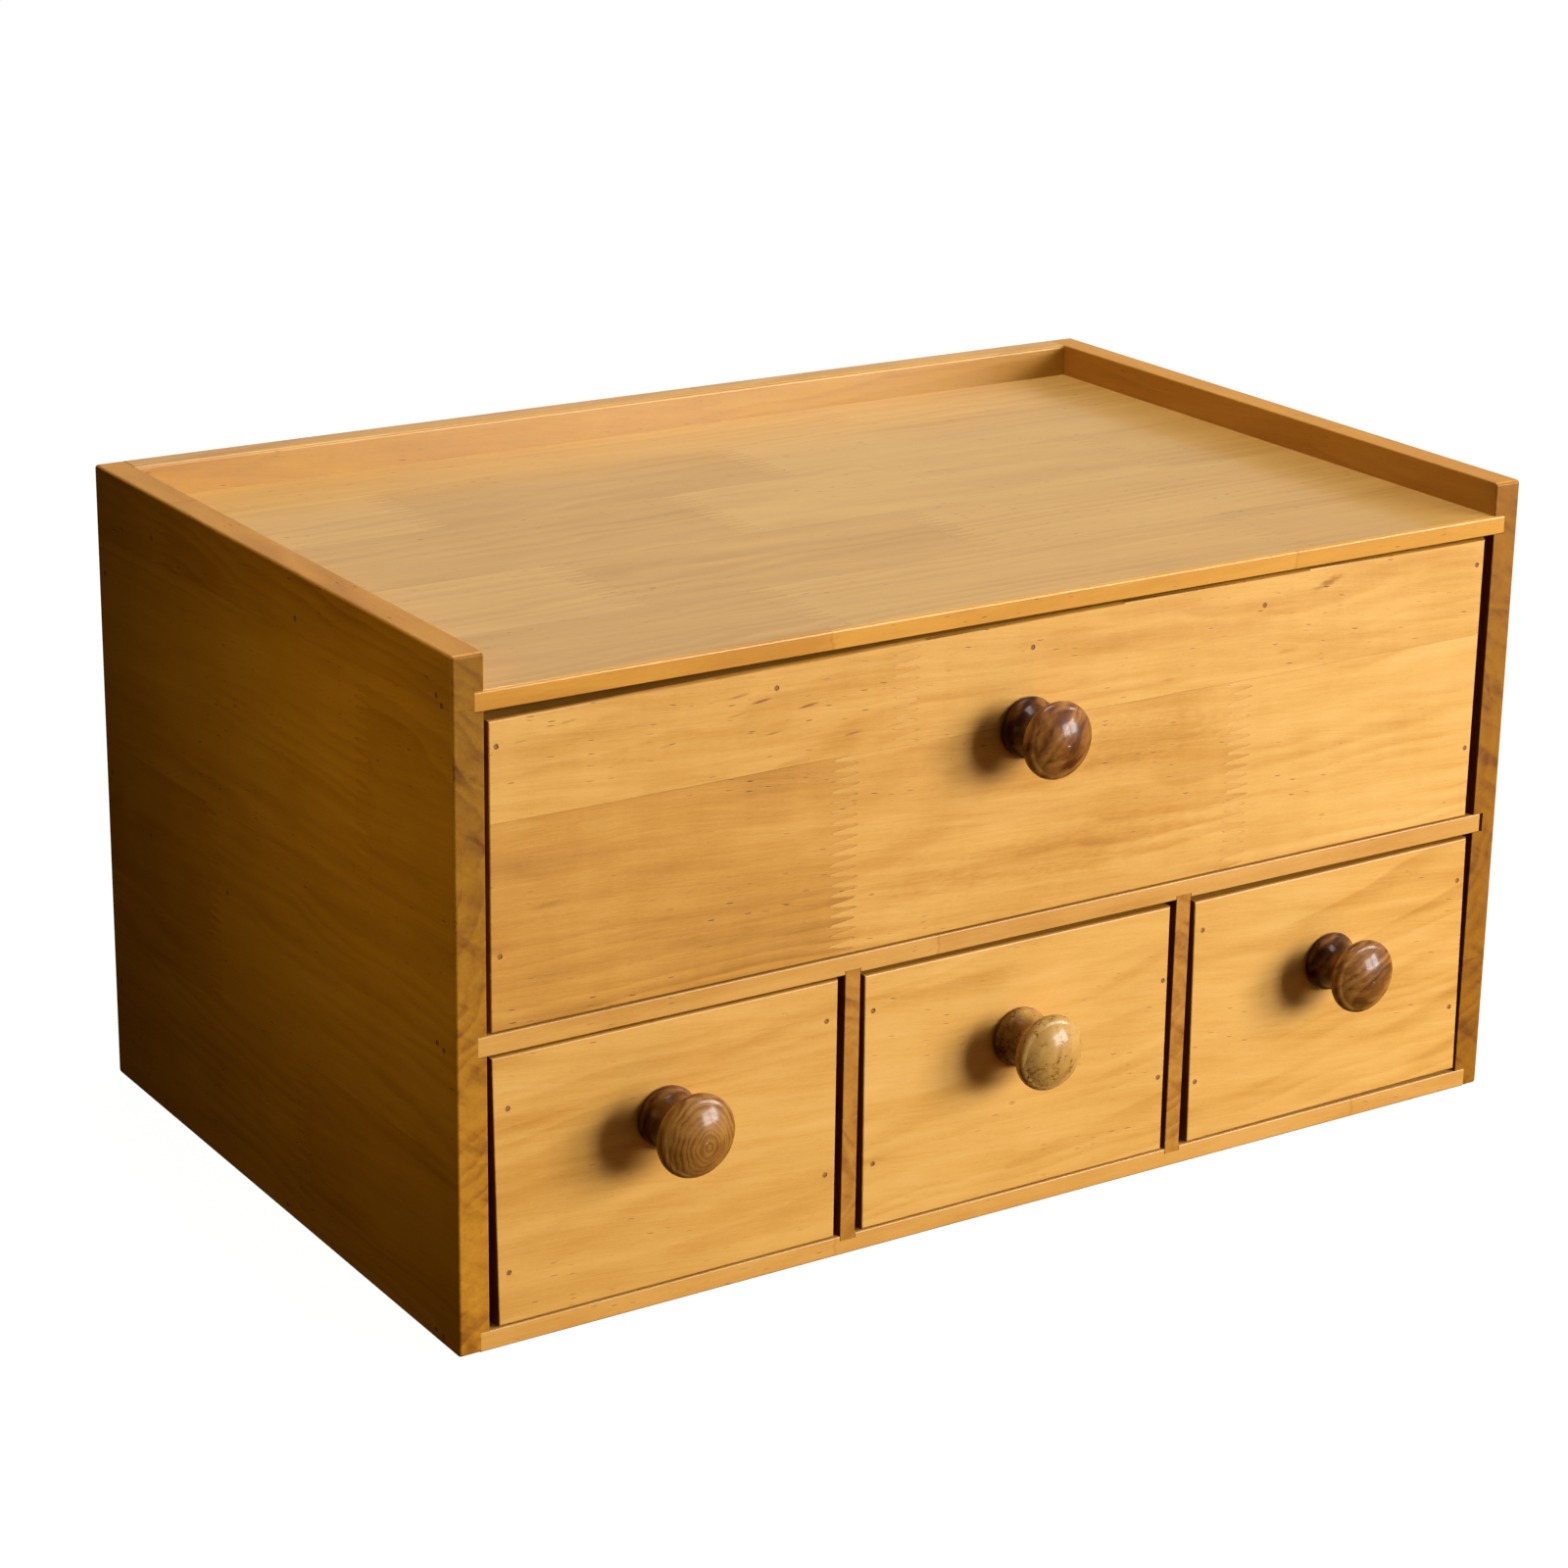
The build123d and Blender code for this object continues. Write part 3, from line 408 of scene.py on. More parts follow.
def veneer(name, box_mm, grain, seed):
    """Thin plywood: rotary-cut face, banded edges."""
    g = Graph(name)
    tc = g.put("ShaderNodeTexCoord")
    sc = g.put("ShaderNodeVectorMath", operation="SCALE")
    g.feed(sc.inputs[0], tc.outputs["Object"])
    sc.inputs["Scale"].default_value = 1000.0
    p = g.split(sc.outputs[0])
    nrm = g.split(tc.outputs["Normal"])
    ia = AX[grain]
    a, s, z = p[ia], p[1 - ia], p[2]
    slow = g.noise(g.xyz(g.mul(a, 0.006), g.mul(s, 0.012), float(seed)), 3.0, 0.5)
    curve = g.add(s, g.mul(g.sub(slow, 0.5), 95.0))
    turn = g.m("FRACT", g.m("DIVIDE", curve, 12.0))
    line = g.mul(g.step(turn, 0.2, 0.85), g.step(turn, 0.88, 1.0, (1.0, 0.0)))
    mid = g.noise(g.xyz(g.mul(a, 0.03), g.mul(curve, 0.5), float(seed) + 2), 3.0, 0.6)
    fine = g.noise(g.xyz(g.mul(a, 0.10), g.mul(s, 3.2), float(seed) + 5), 2.0, 0.6)
    fd, fc = g.cells(g.xyz(g.mul(a, 0.20), g.mul(s, 1.5), float(seed)))
    fr = g.put("ShaderNodeSeparateColor")
    g.feed(fr.inputs[0], fc)
    dash = g.mul(g.step(fd, 0.08, 0.24, (1.0, 0.0)), g.step(fr.outputs[0], 0.62, 0.95))
    v = g.add(0.64, g.mul(line, -0.13), g.mul(g.sub(mid, 0.5), 0.20), g.mul(g.sub(fine, 0.5), 0.12), g.mul(dash, -0.25))
    layer = g.m("FRACT", g.m("DIVIDE", g.sub(z, box_mm[0][2]), 1.0))
    band = g.m("MODULO", g.m("FLOOR", g.m("DIVIDE", g.sub(z, box_mm[0][2]), 1.0)), 2.0)
    edge = g.step(g.m("ABSOLUTE", nrm[2]), 0.5, 0.8, (1.0, 0.0))
    dots = g.noise(g.xyz(g.mul(a, 1.4), g.mul(s, 1.4), g.mul(z, 1.4)), 2.0, 0.6)
    ev = g.add(g.madd(band, -0.20, 0.58), g.mul(g.sub(dots, 0.5), 0.25), g.mul(g.step(layer, 0.0, 0.12, (1.0, 0.0)), -0.25))
    v = g.lerp(edge, v, ev)
    col = g.ramp(v, RAW)
    r = g.madd(g.sub(mid, 0.5), 0.15, 0.58)
    h = g.add(g.mul(fine, 0.4), g.mul(mid, 0.3), g.mul(dash, -0.8), g.mul(g.mul(edge, dots), 0.6))
    return g.finish(col, r, h, 0.05, **{"Specular IOR Level": 0.42})


# --------------------------------------------------------- turned knobs
KNOB = {
    "wide": dict(stops=[(0.0, (0.034, 0.006, 0.001)), (0.3, (0.115, 0.031, 0.004)),
                        (0.6, (0.250, 0.094, 0.015)), (1.0, (0.460, 0.225, 0.064))],
                 lean=40.0, v0=0.47, line=0.18, fibre=0.30, broad=0.42, patch=0.26, warp=8.0, gap=5.2),
    "left": dict(stops=[(0.0, (0.055, 0.014, 0.001)), (0.3, (0.175, 0.060, 0.007)),
                        (0.6, (0.335, 0.148, 0.026)), (1.0, (0.520, 0.285, 0.084))],
                 lean=None, v0=0.47, line=0.24, fibre=0.26, broad=0.45, patch=0.0, warp=0.0, gap=1.30),
    "mid": dict(stops=[(0.0, (0.070, 0.022, 0.002)), (0.3, (0.250, 0.108, 0.017)),
                       (0.6, (0.460, 0.245, 0.056)), (1.0, (0.620, 0.388, 0.118))],
                lean=62.0, v0=0.62, line=0.08, fibre=0.26, broad=0.40, patch=0.08, warp=5.0, gap=4.4),
    "right": dict(stops=[(0.0, (0.034, 0.007, 0.001)), (0.3, (0.130, 0.041, 0.005)),
                         (0.6, (0.285, 0.116, 0.020)), (1.0, (0.450, 0.228, 0.066))],
                  lean=12.0, v0=0.46, line=0.18, fibre=0.28, broad=0.45, patch=0.20, warp=5.0, gap=3.6),
}


def turned(name, kind, x0, z0):
    g = Graph(name)
    o = KNOB[kind]
    tc = g.put("ShaderNodeTexCoord")
    sc = g.put("ShaderNodeVectorMath", operation="SCALE")
    g.feed(sc.inputs[0], tc.outputs["Object"])
    sc.inputs["Scale"].default_value = 1000.0
    x, y, z = g.split(sc.outputs[0])
    x, y, z = g.sub(x, x0), g.add(y, 109.0), g.sub(z, z0)
    rad = g.m("SQRT", g.add(g.mul(x, x), g.mul(z, z)))
    if o["lean"] is None:
        # grain along the knob's axis: the year rings show whole on its head
        wx = g.madd(g.sub(g.noise(g.xyz(g.mul(x, 0.16), g.mul(y, 0.05), g.mul(z, 0.16)), 2.0), 0.5), 2.6, g.sub(x, 0.8))
        wz = g.madd(g.sub(g.noise(g.xyz(g.mul(x, 0.20), 4.0, g.mul(z, 0.20)), 2.0), 0.5), 2.2, g.add(z, 1.6))
        rr = g.m("SQRT", g.add(g.mul(wx, wx), g.mul(g.mul(wz, wz), 0.72)))
        turn = g.m("FRACT", g.m("DIVIDE", g.madd(g.noise(g.xyz(g.mul(rr, 0.5), 2.0, 1.0), 1.0), 2.2, rr), o["gap"]))
        line = g.mul(g.step(turn, 0.20, 0.80), g.step(turn, 0.84, 1.0, (1.0, 0.0)))
        line = g.mul(line, g.step(g.noise(g.xyz(g.mul(x, 0.15), 9.0, g.mul(z, 0.15)), 1.0), 0.30, 0.60, (0.35, 1.0)))
        u, w, d = y, wx, wz
        fibre = g.noise(g.xyz(g.mul(x, 2.4), g.mul(y, 0.25), g.mul(z, 2.4)), 3.0, 0.65)
        broad = g.noise(g.xyz(g.mul(x, 0.22), g.mul(y, 0.06), g.mul(z, 0.22)), 2.0)
        pv, pc = g.cells(g.xyz(g.mul(x, 1.9), g.mul(y, 0.25), g.mul(z, 1.9)))
    else:
        k = math.radians(o["lean"])
        u = g.add(g.mul(x, math.cos(k)), g.mul(z, math.sin(k)), g.mul(y, 0.35))
        w = g.add(g.mul(x, -math.sin(k)), g.mul(z, math.cos(k)))
        d = g.madd(u, -0.30, y)
        warp = g.noise(g.xyz(g.mul(u, 0.09), g.mul(w, 0.13), g.mul(d, 0.13)), 2.0)
        ww = g.madd(g.sub(warp, 0.5), o["warp"], w)
        dd = g.add(d, 26.0 if kind != "mid" else 13.0)
        rr = g.m("SQRT", g.add(g.mul(ww, ww), g.mul(dd, dd)))
        rr = g.madd(ww, 0.8, rr)
        turn = g.m("FRACT", g.m("DIVIDE", g.madd(g.noise(g.xyz(g.mul(rr, 0.22), 3.0, 1.0), 1.0), 3.0, rr), o["gap"]))
        line = g.mul(g.step(turn, 0.10, 0.72), g.step(turn, 0.76, 1.0, (1.0, 0.0)))
        fibre = g.noise(g.xyz(g.mul(u, 0.26), g.mul(ww, 1.9), g.mul(d, 1.9)), 3.0, 0.62)
        broad = g.noise(g.xyz(g.mul(u, 0.09), g.mul(ww, 0.26), g.mul(d, 0.26)), 2.0)
        pv, pc = g.cells(g.xyz(g.mul(u, 0.34), g.mul(ww, 1.8), g.mul(d, 1.8)))
    pr_ = g.put("ShaderNodeSeparateColor")
    g.feed(pr_.inputs[0], pc)
    pore = g.mul(g.step(pv, 0.10, 0.30, (1.0, 0.0)), g.step(pr_.outputs[0], 0.55, 0.9))
    v = g.add(o["v0"] + 0.10, g.mul(line, -o["line"]), g.mul(g.sub(fibre, 0.5), o["fibre"]),
              g.mul(g.sub(broad, 0.5), o["broad"]), g.mul(g.sub(g.step(broad, 0.38, 0.62), 0.5), o["patch"]),
              g.mul(pore, -0.16))
    crack = 0.0
    if kind == "mid":
        # a burr: fine dark checks and specks, most of them low on the left
        e, _ = g.cells(g.xyz(g.mul(g.madd(fibre, 2.2, x), 0.40), g.mul(y, 0.40), g.mul(g.madd(broad, 2.6, z), 0.46)), "DISTANCE_TO_EDGE")
        where = g.noise(g.xyz(g.mul(x, 0.26), g.mul(y, 0.26), g.mul(g.add(z, 3.0), 0.26)), 2.0)
        low = g.mul(g.step(z, 3.0, -6.0), g.step(x, 4.0, -6.0))
        crack = g.mul(g.step(e, 0.010, 0.070, (1.0, 0.0)), g.step(g.madd(low, 0.16, where), 0.50, 0.62))
        v = g.add(v, g.mul(crack, -0.34), g.mul(low, -0.08))
        speck = g.noise(g.xyz(g.mul(x, 1.1), g.mul(y, 1.1), g.mul(z, 1.1)), 3.0, 0.7)
        v = g.madd(g.step(g.madd(low, 0.08, speck), 0.56, 0.72), -0.24, v)
    # painted shade on the flange and the neck, under the knob's head
    neck_shade = g.step(y, -13.5, -8.0)
    v = g.madd(neck_shade, -0.20, v)
    col = g.ramp(v, o["stops"])
    # lathe lines round the axis
    lathe = g.m("SINE", g.mul(g.madd(y, 1.0, g.mul(rad, 0.6)), 5.2))
    r = g.add(0.46, g.mul(g.sub(fibre, 0.5), 0.16), g.mul(pore, 0.20), g.mul(crack, 0.3) if kind == "mid" else 0.0)
    h = g.add(g.mul(fibre, 0.35), g.mul(pore, -0.7), g.mul(line, -0.2), g.mul(lathe, 0.05),
              g.mul(crack, -1.2) if kind == "mid" else 0.0)
    return g.finish(col, r, h, 0.05, **{"Specular IOR Level": 0.15, "Coat Weight": 0.32, "Coat Roughness": 0.15})


# ----------------------------------------------------------------- steel
def steel(name, dark=False):
    g = Graph(name)
    tc = g.put("ShaderNodeTexCoord")
    sc = g.put("ShaderNodeVectorMath", operation="SCALE")
    g.feed(sc.inputs[0], tc.outputs["Object"])
    sc.inputs["Scale"].default_value = 1000.0
    x, y, z = g.split(sc.outputs[0])
    a = g.noise(g.xyz(g.mul(x, 2.2), g.mul(y, 2.2), g.mul(z, 2.2)), 3.0, 0.6)
    b = g.noise(g.xyz(g.mul(x, 9.0), g.mul(y, 9.0), g.mul(z, 9.0)), 2.0, 0.6)
    mixed = g.step(g.madd(b, 0.4, a), 0.52, 0.92)
    if dark:
        # brad heads under the stain, with a film of rust
        col = g.mix(mixed, (0.200, 0.076, 0.018), (0.380, 0.160, 0.042))
        r = g.madd(a, 0.20, 0.70)
        metal = 0.0
    else:
        col = g.mix(mixed, (0.62, 0.61, 0.585), (0.46, 0.435, 0.39))
        r = g.madd(a, 0.22, 0.24)
        metal = 1.0
    return g.finish(col, r, g.add(g.mul(b, 0.5), a), 0.02, **{"Metallic": metal})


# ------------------------------------------------------ board by board
def box_mm(n):
    lo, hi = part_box(n)
    return [v * 1000 for v in lo], [v * 1000 for v in hi]


def paint(n, mat):
    me = nodes[n].data
    me.materials.clear()
    me.materials.append(mat)


def random_staves(n, stack, grain, seed, width=(34.0, 62.0), base=0.5, spread=0.16):
    """Strips of chance width with chance joints, for boards not in the photograph."""
    rnd = random.Random(seed)
    lo, hi = box_mm(n)
    s, out = lo[AX[stack]] - 1.0, []
    a0, a1 = lo[AX[grain]], hi[AX[grain]]
    while s < hi[AX[stack]] + 1.0:
        s += rnd.uniform(*width)
        pieces = [base + rnd.uniform(-spread, spread) for _ in range(3)]
        c1 = rnd.uniform(a0 + 0.1 * (a1 - a0), a0 + 0.5 * (a1 - a0))
        c2 = c1 + rnd.uniform(0.30, 0.8) * (a1 - a0)
        out.append((s, pieces, (c1, c2)))
    return out


FRONT_BRADS = {
    "wide_drawer": [(-162.8, 164.5), (-162.2, 108.8), (160.2, 165.9), (160.6, 110.0), (-80.6, 166.6), (1.1, 165.2), (81.2, 165.3)],
    "left_drawer": [(-160.3, 66.9), (-160.3, 20.8), (-63.2, 70.4), (-62.8, 25.4)],
    "middle_drawer": [(-48.2, 70.3), (-47.2, 25.0), (51.2, 58.7), (51.0, 29.0)],
    "right_drawer": [(64.8, 71.3), (64.7, 24.6), (161.8, 27.6), (161.4, 68.2)],
}
LEFT_BRADS = [(-101.1, 177.6), (-103.8, 175.6), (-22.0, 176.9), (70.0, 176.7), (-99.1, 84.6), (-102.7, 83.6), (26.0, 84.6),
              (78.0, 85.3), (-96.3, 2.9), (-100.4, 2.5), (-8.0, 2.8), (74.0, 3.0), (104.4, 31.0), (104.7, 97.0), (104.3, 158.0)]
RIGHT_BRADS = [(-100.4, 176.2), (-103.9, 177.3), (-15.0, 176.8), (76.0, 177.0), (-98.6, 85.9), (-102.4, 84.7), (12.0, 85.1),
               (80.0, 84.9), (-97.0, 2.6), (-101.2, 3.0), (4.0, 2.9), (71.0, 2.7), (104.6, 27.0), (104.4, 92.0), (104.5, 161.0)]
BACK_BRADS = [(-118.0, 176.9), (3.0, 176.7), (121.0, 177.0), (-112.0, 85.2), (-3.0, 85.0), (116.0, 85.4), (-124.0, 2.9),
              (6.0, 2.8), (119.0, 3.0), (-54.9, 24.0), (-55.1, 63.0), (57.4, 27.0), (57.3, 60.0)]


# Painted shade: darker tints for faces that sit in gaps, under boards and inside the case.
GAP_SHADE = (0.34, 0.24, 0.13)      # painted shade for faces in the gaps between parts
# painted shade for undersides and faces deeper inside the case
RECESS_SHADE = (0.42, 0.30, 0.17)


def front(d, staves, seed, **more):
    n = d + "_front"
    paint(n, wood("wood_" + n, box_mm(n), "x", "z", staves, more.pop("ramp", HONEY), seed,
                  stains=[(x, z, "a") for x, z in FRONT_BRADS[d]],
                  # Painted shade: the side, top and bottom faces sit in the gaps round the drawer; the arrises are
                  # darkened too.
                  faces=[("x", 1, GAP_SHADE, None), ("x", -1, more.pop("left_edge", GAP_SHADE), None),
                         ("z", 1, (0.74, 0.64, 0.42), None), ("z", -1, RECESS_SHADE, None)],
                  arris_wear_and_shade=-0.12, coat=(0.10, 0.28), specular=0.34, **more))


front("wide_drawer",
      [(145.0, (0.27, 0.49, 0.62), (-59.0, 74.0)), (180.0, (0.48, 0.53, 0.60), (-40.0, 500.0))], 11,
      tilt=(0.045, 0.03), streak=0.19, fleck=0.44, rings=0.11,
      fleck_spots=[(-92.0, 160.0, 44.0, 10.0, 0.85), (-60.0, 152.0, 26.0, 7.0, 0.65), (-150.0, 165.0, 18.0, 6.0, 0.55)],
      marks=[(104.0, 168.5, 6.0, 1.6, 0.25, 0.34), (-148.0, 120.0, 7.0, 1.4, 0.05, 0.10),
             (90.0, 150.5, 5.0, 0.9, 0.0, 0.12), (48.0, 148.5, 3.5, 1.0, 0.0, 0.10),
             (40.0, 133.0, 40.0, 9.0, 0.02, 0.13), (15.0, 105.0, 70.0, 8.0, 0.03, 0.11)],
      # Painted shade, lighter than the rest, on the wide front's left face in its gap.
      cross=0.07, stave_contrast=0.62, left_edge=(0.80, 0.66, 0.42))
front("left_drawer", [(90.0, (0.52,), ())], 23, tilt=(0.06, 0.03), streak=0.15, rings=0.07,
      flame=(-150.0, 20.0, 0.02, 0.0008, 17.0, 0.09), joints=False)
front("middle_drawer", [(90.0, (0.60,), ())], 37, tilt=(0.06, 0.03), streak=0.15, rings=0.07,
      flame=(-40.0, 18.0, 0.00, 0.0014, 15.0, 0.10), joints=False)
front("right_drawer", [(90.0, (0.57,), ())], 41, tilt=(0.08, 0.03), streak=0.16, rings=0.08,
      flame=(70.0, 22.0, 0.06, 0.0014, 16.0, 0.12), joints=False)

paint("case_left_side", wood(
    "wood_case_left_side", box_mm("case_left_side"), "y", "z",
    [(50.0, (0.40, 0.52, 0.44), (-20.0, 400.0)), (109.0, (0.56, 0.47, 0.5), (35.0, 400.0)),
     (172.0, (0.50, 0.58, 0.5), (-60.0, 300.0)), (200.0, (0.38, 0.44, 0.4), (60.0, 400.0))],
    SIDE, 53, tilt=(0.05, 0.02), streak=0.17, fleck=0.42, slope=-0.03, rings=0.10,
    stains=[(y, z, "a") for y, z in LEFT_BRADS], end_tint=(0.50, 0.50, 0.09), end_low=(0.86, 0.86, 0.52), strokes=0.20, mottle=0.10,
    # Painted shade on the inner face below the tray.
    faces=[("x", 1, RECESS_SHADE, 174.5)], coat=(0.06, 0.22), specular=0.18, arris_wear_and_shade=0.0))
paint("case_right_side", wood(
    "wood_case_right_side", box_mm("case_right_side"), "y", "z",
    [(42.0, (0.50, 0.58, 0.5), (10.0, 400.0)), (96.0, (0.44, 0.52, 0.5), (-55.0, 60.0)),
     (148.0, (0.58, 0.50, 0.5), (28.0, 400.0)), (200.0, (0.48, 0.54, 0.5), (-30.0, 400.0))],
    SIDE, 59, tilt=(0.05, 0.02), streak=0.16, fleck=0.42, rings=0.09,
    stains=[(y, z, "a") for y, z in RIGHT_BRADS], end_tint=(0.52, 0.46, 0.04), strokes=0.20, mottle=0.08,
    # Painted shade on the inner face below the tray.
    faces=[("x", -1, GAP_SHADE, 174.5)], coat=(0.06, 0.22), specular=0.18, arris_wear_and_shade=0.0))
paint("case_back_panel", wood(
    "wood_case_back_panel", box_mm("case_back_panel"), "x", "z",
    [(38.0, (0.52, 0.42, 0.55), (-70.0, 95.0)), (88.0, (0.46, 0.58, 0.5), (15.0, 400.0)),
     (135.0, (0.60, 0.50, 0.42), (-110.0, 52.0)), (170.0, (0.42, 0.50, 0.5), (-20.0, 400.0)),
     (200.0, (0.42, 0.50, 0.5), (28.0, 400.0))],
    HONEY, 61, tilt=(0.05, 0.02), streak=0.17, fleck=0.38, rings=0.10,
    # Painted shade on the face turned to the front, inside the case and on the lip above the tray.
    stains=[(x, z, "a") for x, z in BACK_BRADS], faces=[("y", -1, (0.66, 0.61, 0.26), None)]))
paint("case_top_panel", wood(
    "wood_case_top_panel", box_mm("case_top_panel"), "x", "y",
    [(-66.0, (0.44, 0.54, 0.46), (-60.0, 95.0)), (-18.0, (0.56, 0.44, 0.56), (-96.0, 20.0)),
     (30.0, (0.46, 0.58, 0.54), (-30.0, 118.0)), (74.0, (0.58, 0.43, 0.58), (-105.0, 12.0)),
     (120.0, (0.50, 0.54, 0.50), (66.0, 400.0))],
    TRAY, 67, tilt=(0.04, 0.02), streak=0.15, fleck=0.38, rings=0.08, stave_contrast=0.60, mottle=0.05, hatch=0.11, arris_wear_and_shade=-0.10,
    # Painted shade on the underside, and on the arrises through the negative amount; the front edge is tinted more
    # orange.
    faces=[("y", -1, (1.0, 0.84, 0.42), None), ("z", -1, RECESS_SHADE, None)], rough=0.48, coat=(0.55, 0.16), specular=0.2))
for n, sd in (("case_middle_shelf", 71), ("case_bottom_panel", 73)):
    paint(n, wood("wood_" + n, box_mm(n), "x", "y", random_staves(n, "y", "x", sd, base=0.55, spread=0.10), HONEY, sd,
                  streak=0.18, fleck=0.36, rings=0.08, arris_wear_and_shade=-0.12,
                  # Painted shade on the undersides and front edges, and on the arrises through the negative amount.
                  faces=[("z", -1, RECESS_SHADE, None), ("y", -1, (0.92, 0.86, 0.74), None)]))
for n, sd in (("case_divider_left", 79), ("case_divider_right", 83)):
    paint(n, wood("wood_" + n, box_mm(n), "y", "z", random_staves(n, "z", "y", sd, base=0.46, spread=0.10), TAWNY, sd,
                  streak=0.18, fleck=0.40, rings=0.12, end_tint=(0.80, 0.68, 0.36), strokes=0.18, centre=(0.35, -18.0),
                  coat=(0.05, 0.25), specular=0.2,
                  # Painted shade on both side faces, inside the case.
                  faces=[("x", 1, RECESS_SHADE, None), ("x", -1, RECESS_SHADE, None)]))

sd = 101
for d in ("wide_drawer", "left_drawer", "middle_drawer", "right_drawer"):
    for part in ("left_wall", "right_wall", "back", "front_rail"):
        n = d + "_" + part
        if n not in nodes:
            continue
        grain = "y" if "wall" in part else "x"
        paint(n, wood("wood_" + n, box_mm(n), grain, "z", random_staves(n, "z", grain, sd, base=0.58, spread=0.12),
                      RAW if part != "front_rail" else HONEY, sd, streak=0.18, fleck=0.34, rings=0.12, rough=0.52,
                      stave_contrast=0.45, faces=[("x", -1, (1.0, 0.86, 0.74), None)]))
        sd += 2
    n = d + "_bottom"
    paint(n, veneer("plywood_" + n, box_mm(n), "x", sd))
    sd += 1

for d, kind, x0, z0 in (("wide_drawer", "wide", 0.0, 143.0), ("left_drawer", "left", -113.1, 54.3),
                        ("middle_drawer", "mid", 1.0, 52.6), ("right_drawer", "right", 112.8, 52.6)):
    paint(d + "_knob", turned("wood_" + d + "_knob", kind, x0, z0))

screw_mat, brad_mat = steel("screw_steel"), steel("brad_steel", dark=True)
for n in nodes:
    if n.endswith("_knob_screw"):
        paint(n, screw_mat)
    elif n.endswith("_nails"):
        paint(n, brad_mat)

# ---------------------------------------------------------------- floor
bpy.ops.mesh.primitive_plane_add(size=60.0, location=(0, 0, -0.0002))
floor = bpy.context.object
floor.name = "floor"
fg = bpy.data.materials.new("pale_floor")
fg.use_nodes = True
ft = fg.node_tree
ft.nodes.clear()
fo = ft.nodes.new("ShaderNodeOutputMaterial")
fm = ft.nodes.new("ShaderNodeMixShader")
fm.inputs[0].default_value = 0.12
fe = ft.nodes.new("ShaderNodeEmission")
fe.inputs[0].default_value = (1.0, 1.0, 1.0, 1.0)
fe.inputs[1].default_value = 1.12
fd_ = ft.nodes.new("ShaderNodeBsdfDiffuse")
fd_.inputs[0].default_value = (0.93, 0.93, 0.925, 1.0)
ft.links.new(fe.outputs[0], fm.inputs[1])
ft.links.new(fd_.outputs[0], fm.inputs[2])
ft.links.new(fm.outputs[0], fo.inputs[0])
floor.data.materials.append(fg)
floor.visible_diffuse = False
floor.visible_glossy = False
floor.visible_shadow = False

# --------------------------------------------------------------- lights
world = bpy.data.worlds.new("studio")
bpy.context.scene.world = world
world.use_nodes = True
wt = world.node_tree
wt.nodes.clear()


def wmath(op, a, b=0.0, clamp=False):
    n = wt.nodes.new("ShaderNodeMath")
    n.operation = op
    n.use_clamp = clamp
    for i, v in enumerate((a, b)):
        if isinstance(v, bpy.types.NodeSocket):
            wt.links.new(v, n.inputs[i])
        else:
            n.inputs[i].default_value = v
    return n.outputs[0]


def wstep(v, lo, hi, a, b):
    n = wt.nodes.new("ShaderNodeMapRange")
    n.interpolation_type = "SMOOTHSTEP"
    wt.links.new(v, n.inputs[0])
    for i, x in enumerate((lo, hi, a, b)):
        n.inputs[i + 1].default_value = x
    return n.outputs[0]


# Soft studio surroundings: a bright wall behind and to the right, a dim
# room on the left.
wc = wt.nodes.new("ShaderNodeTexCoord")
ws = wt.nodes.new("ShaderNodeSeparateXYZ")
wt.links.new(wc.outputs["Generated"], ws.inputs[0])
dx, dy, dz = ws.outputs
BEHIND, ABOVE, RIGHT, BASE, BOUNCE = 0.26, 0.16, 0.25, 0.035, 0.80
KEY_W, FILL_W, OVER_W = 35.0, 0.082, 3.85
behind = wmath("MULTIPLY", wstep(dy, -0.10, 0.85, 0.0, BEHIND), wstep(dx, 0.42, 0.80, 1.0, 0.35))
above = wstep(dz, 0.0, 0.95, 0.0, ABOVE)
right = wstep(dx, -0.10, 0.9, 0.0, RIGHT)
left_dim = wstep(dx, -0.55, 0.08, 0.03, 1.0)
under = wstep(dz, -0.30, 0.05, 0.08, 1.0)
glow = wmath("ADD", wmath("ADD", behind, above), wmath("ADD", right, BASE))
glow = wmath("MULTIPLY", wmath("MULTIPLY", glow, left_dim), under)
bounce = wmath("MULTIPLY", wstep(dz, -0.70, 0.05, BOUNCE, 0.0), wstep(dy, -0.75, -0.05, 1.0, 0.0))
bounce = wmath("MULTIPLY", bounce, wstep(dx, -0.25, 0.35, 0.0, 1.0))
glow = wmath("ADD", glow, bounce)
wlp = wt.nodes.new("ShaderNodeLightPath")
wmix = wt.nodes.new("ShaderNodeMix")
wmix.data_type = "FLOAT"
wt.links.new(wlp.outputs["Is Camera Ray"], wmix.inputs[0])
wt.links.new(glow, wmix.inputs[2])
wmix.inputs[3].default_value = 1.0
wb = wt.nodes.new("ShaderNodeBackground")
# the dim left of the room and the table in front are warm, the rest is white
warm = wt.nodes.new("ShaderNodeMix")
warm.data_type = "RGBA"
warm_part = wmath("MAXIMUM", wstep(dx, -0.35, 0.10, 1.0, 0.0), wstep(dz, -0.25, 0.05, 1.0, 0.0))
wt.links.new(wmath("MULTIPLY", warm_part, wmath("SUBTRACT", 1.0, wlp.outputs["Is Camera Ray"])), warm.inputs[0])
warm.inputs[6].default_value = (1.0, 0.995, 0.985, 1.0)
warm.inputs[7].default_value = (1.0, 0.50, 0.11, 1.0)
redder = wt.nodes.new("ShaderNodeMix")
redder.data_type = "RGBA"
wt.links.new(wmath("MULTIPLY", wstep(dx, -0.45, 0.0, 1.0, 0.0), wmath("SUBTRACT", 1.0, wlp.outputs["Is Camera Ray"])), redder.inputs[0])
wt.links.new(warm.outputs[2], redder.inputs[6])
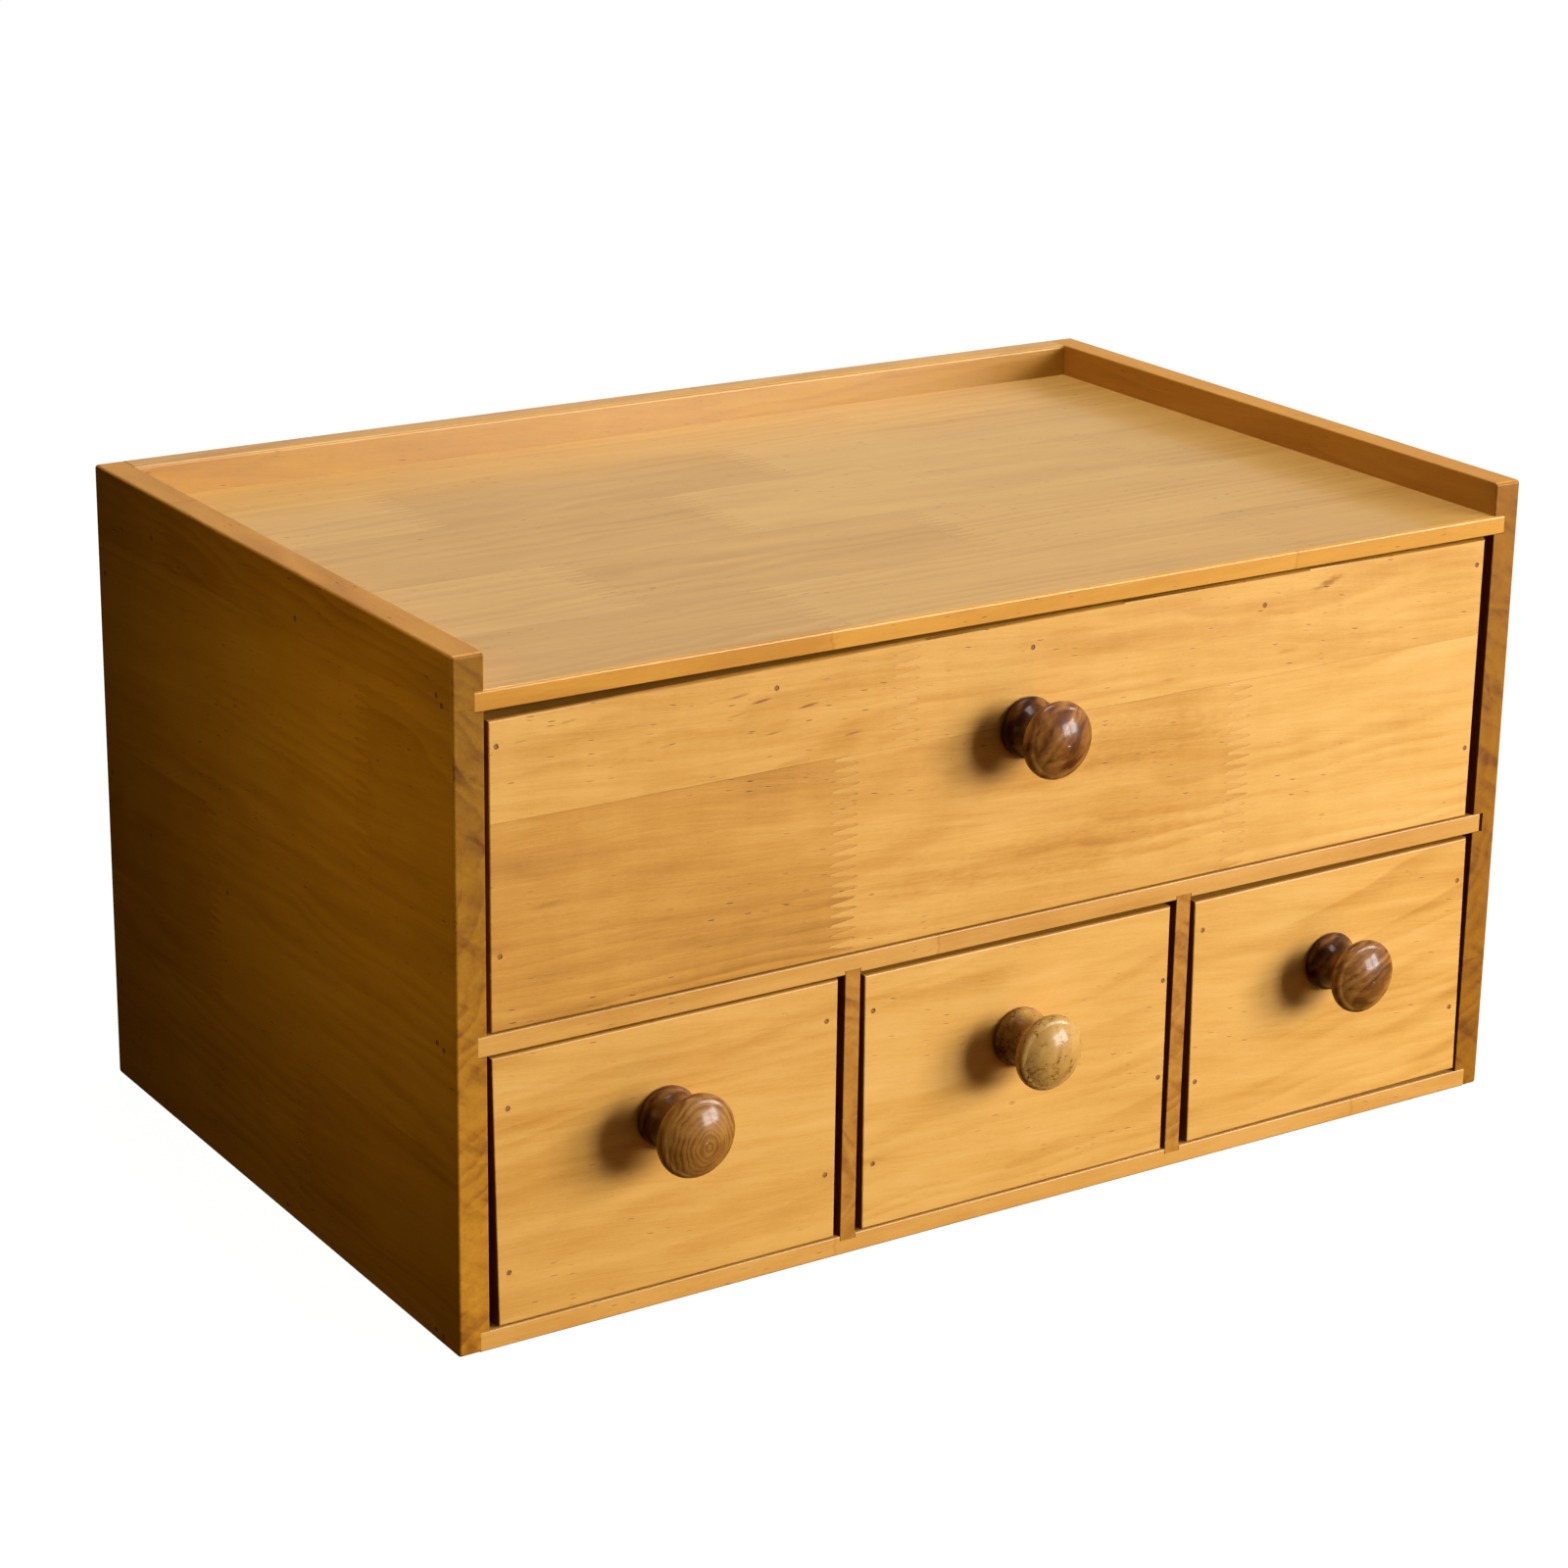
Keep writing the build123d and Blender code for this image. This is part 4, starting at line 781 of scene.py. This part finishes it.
redder.inputs[7].default_value = (1.0, 0.27, 0.04, 1.0)
wt.links.new(redder.outputs[2], wb.inputs[0])
wt.links.new(wmix.outputs[0], wb.inputs[1])
wo = wt.nodes.new("ShaderNodeOutputWorld")
wt.links.new(wb.outputs[0], wo.inputs[0])


def softbox(name, place, target, size, watts, colour=(1.0, 1.0, 1.0)):
    l = bpy.data.lights.new(name, "AREA")
    l.shape = "RECTANGLE"
    l.size, l.size_y = size
    l.energy = watts
    l.color = colour
    o = bpy.data.objects.new(name, l)
    bpy.context.scene.collection.objects.link(o)
    o.location = place
    o.rotation_mode = "QUATERNION"
    o.rotation_quaternion = (Vector(target) - Vector(place)).to_track_quat("-Z", "Y")
    o.visible_camera = False
    return o


aim = Vector((0.0, -0.05, 0.10))


def around(azimuth, elevation, distance):
    """A place seen from the front: azimuth to the right, elevation up."""
    a, e = math.radians(azimuth), math.radians(elevation)
    return aim + distance * Vector((math.sin(a) * math.cos(e), -math.cos(a) * math.cos(e), math.sin(e)))


# Key: two tall panes side by side, like a window, front right.
softbox("key_pane_left", around(31.0, 11.5, 2.2), aim, (0.58, 0.77), KEY_W, (1.0, 0.985, 0.955))
softbox("key_pane_right", around(49.0, 11.5, 2.2), aim, (0.58, 0.77), KEY_W, (1.0, 0.985, 0.955))
# A weak warm fill high on the left: the left side falls off from it.
softbox("fill", (-0.335, -0.072, 0.160), (-0.175, -0.062, 0.130), (0.12, 0.12), FILL_W, (1.0, 0.78, 0.16))
# A soft box overhead for the top.
softbox("overhead", (0.05, 0.0, 0.88), (0.05, 0.0, 0.0), (0.34, 0.34), OVER_W, (1.0, 0.99, 0.97))

# --------------------------------------------------------------- camera
azimuth, elevation, roll = math.radians(-32.962), math.radians(17.813), math.radians(-0.882)
look = Vector((0.51799819, 0.79880926, -0.30591117))
right_v = Vector((0.84149549, -0.54006526, 0.01465787))
down_v = Vector((-0.15350315, -0.26501562, -0.95194722))
cam_data = bpy.data.cameras.new("camera")
cam = bpy.data.objects.new("camera", cam_data)
bpy.context.scene.collection.objects.link(cam)
rot = Matrix((right_v, -down_v, -look)).transposed().to_4x4()
cam.matrix_world = Matrix.Translation((-0.59668, -0.90840, 0.46767)) @ rot
cam_data.sensor_fit = "HORIZONTAL"
cam_data.sensor_width = 36.0
cam_data.lens = 88.97
cam_data.shift_x = 0.0
cam_data.shift_y = -0.050
cam_data.clip_start, cam_data.clip_end = 0.05, 100.0
cam_data.dof.use_dof = False
bpy.context.scene.camera = cam

bpy.context.scene.view_settings.view_transform = "Standard"
bpy.context.scene.view_settings.look = "None"
bpy.context.scene.view_settings.exposure = 0.0
bpy.context.scene.view_settings.gamma = 1.0

bpy.context.view_layer.update()
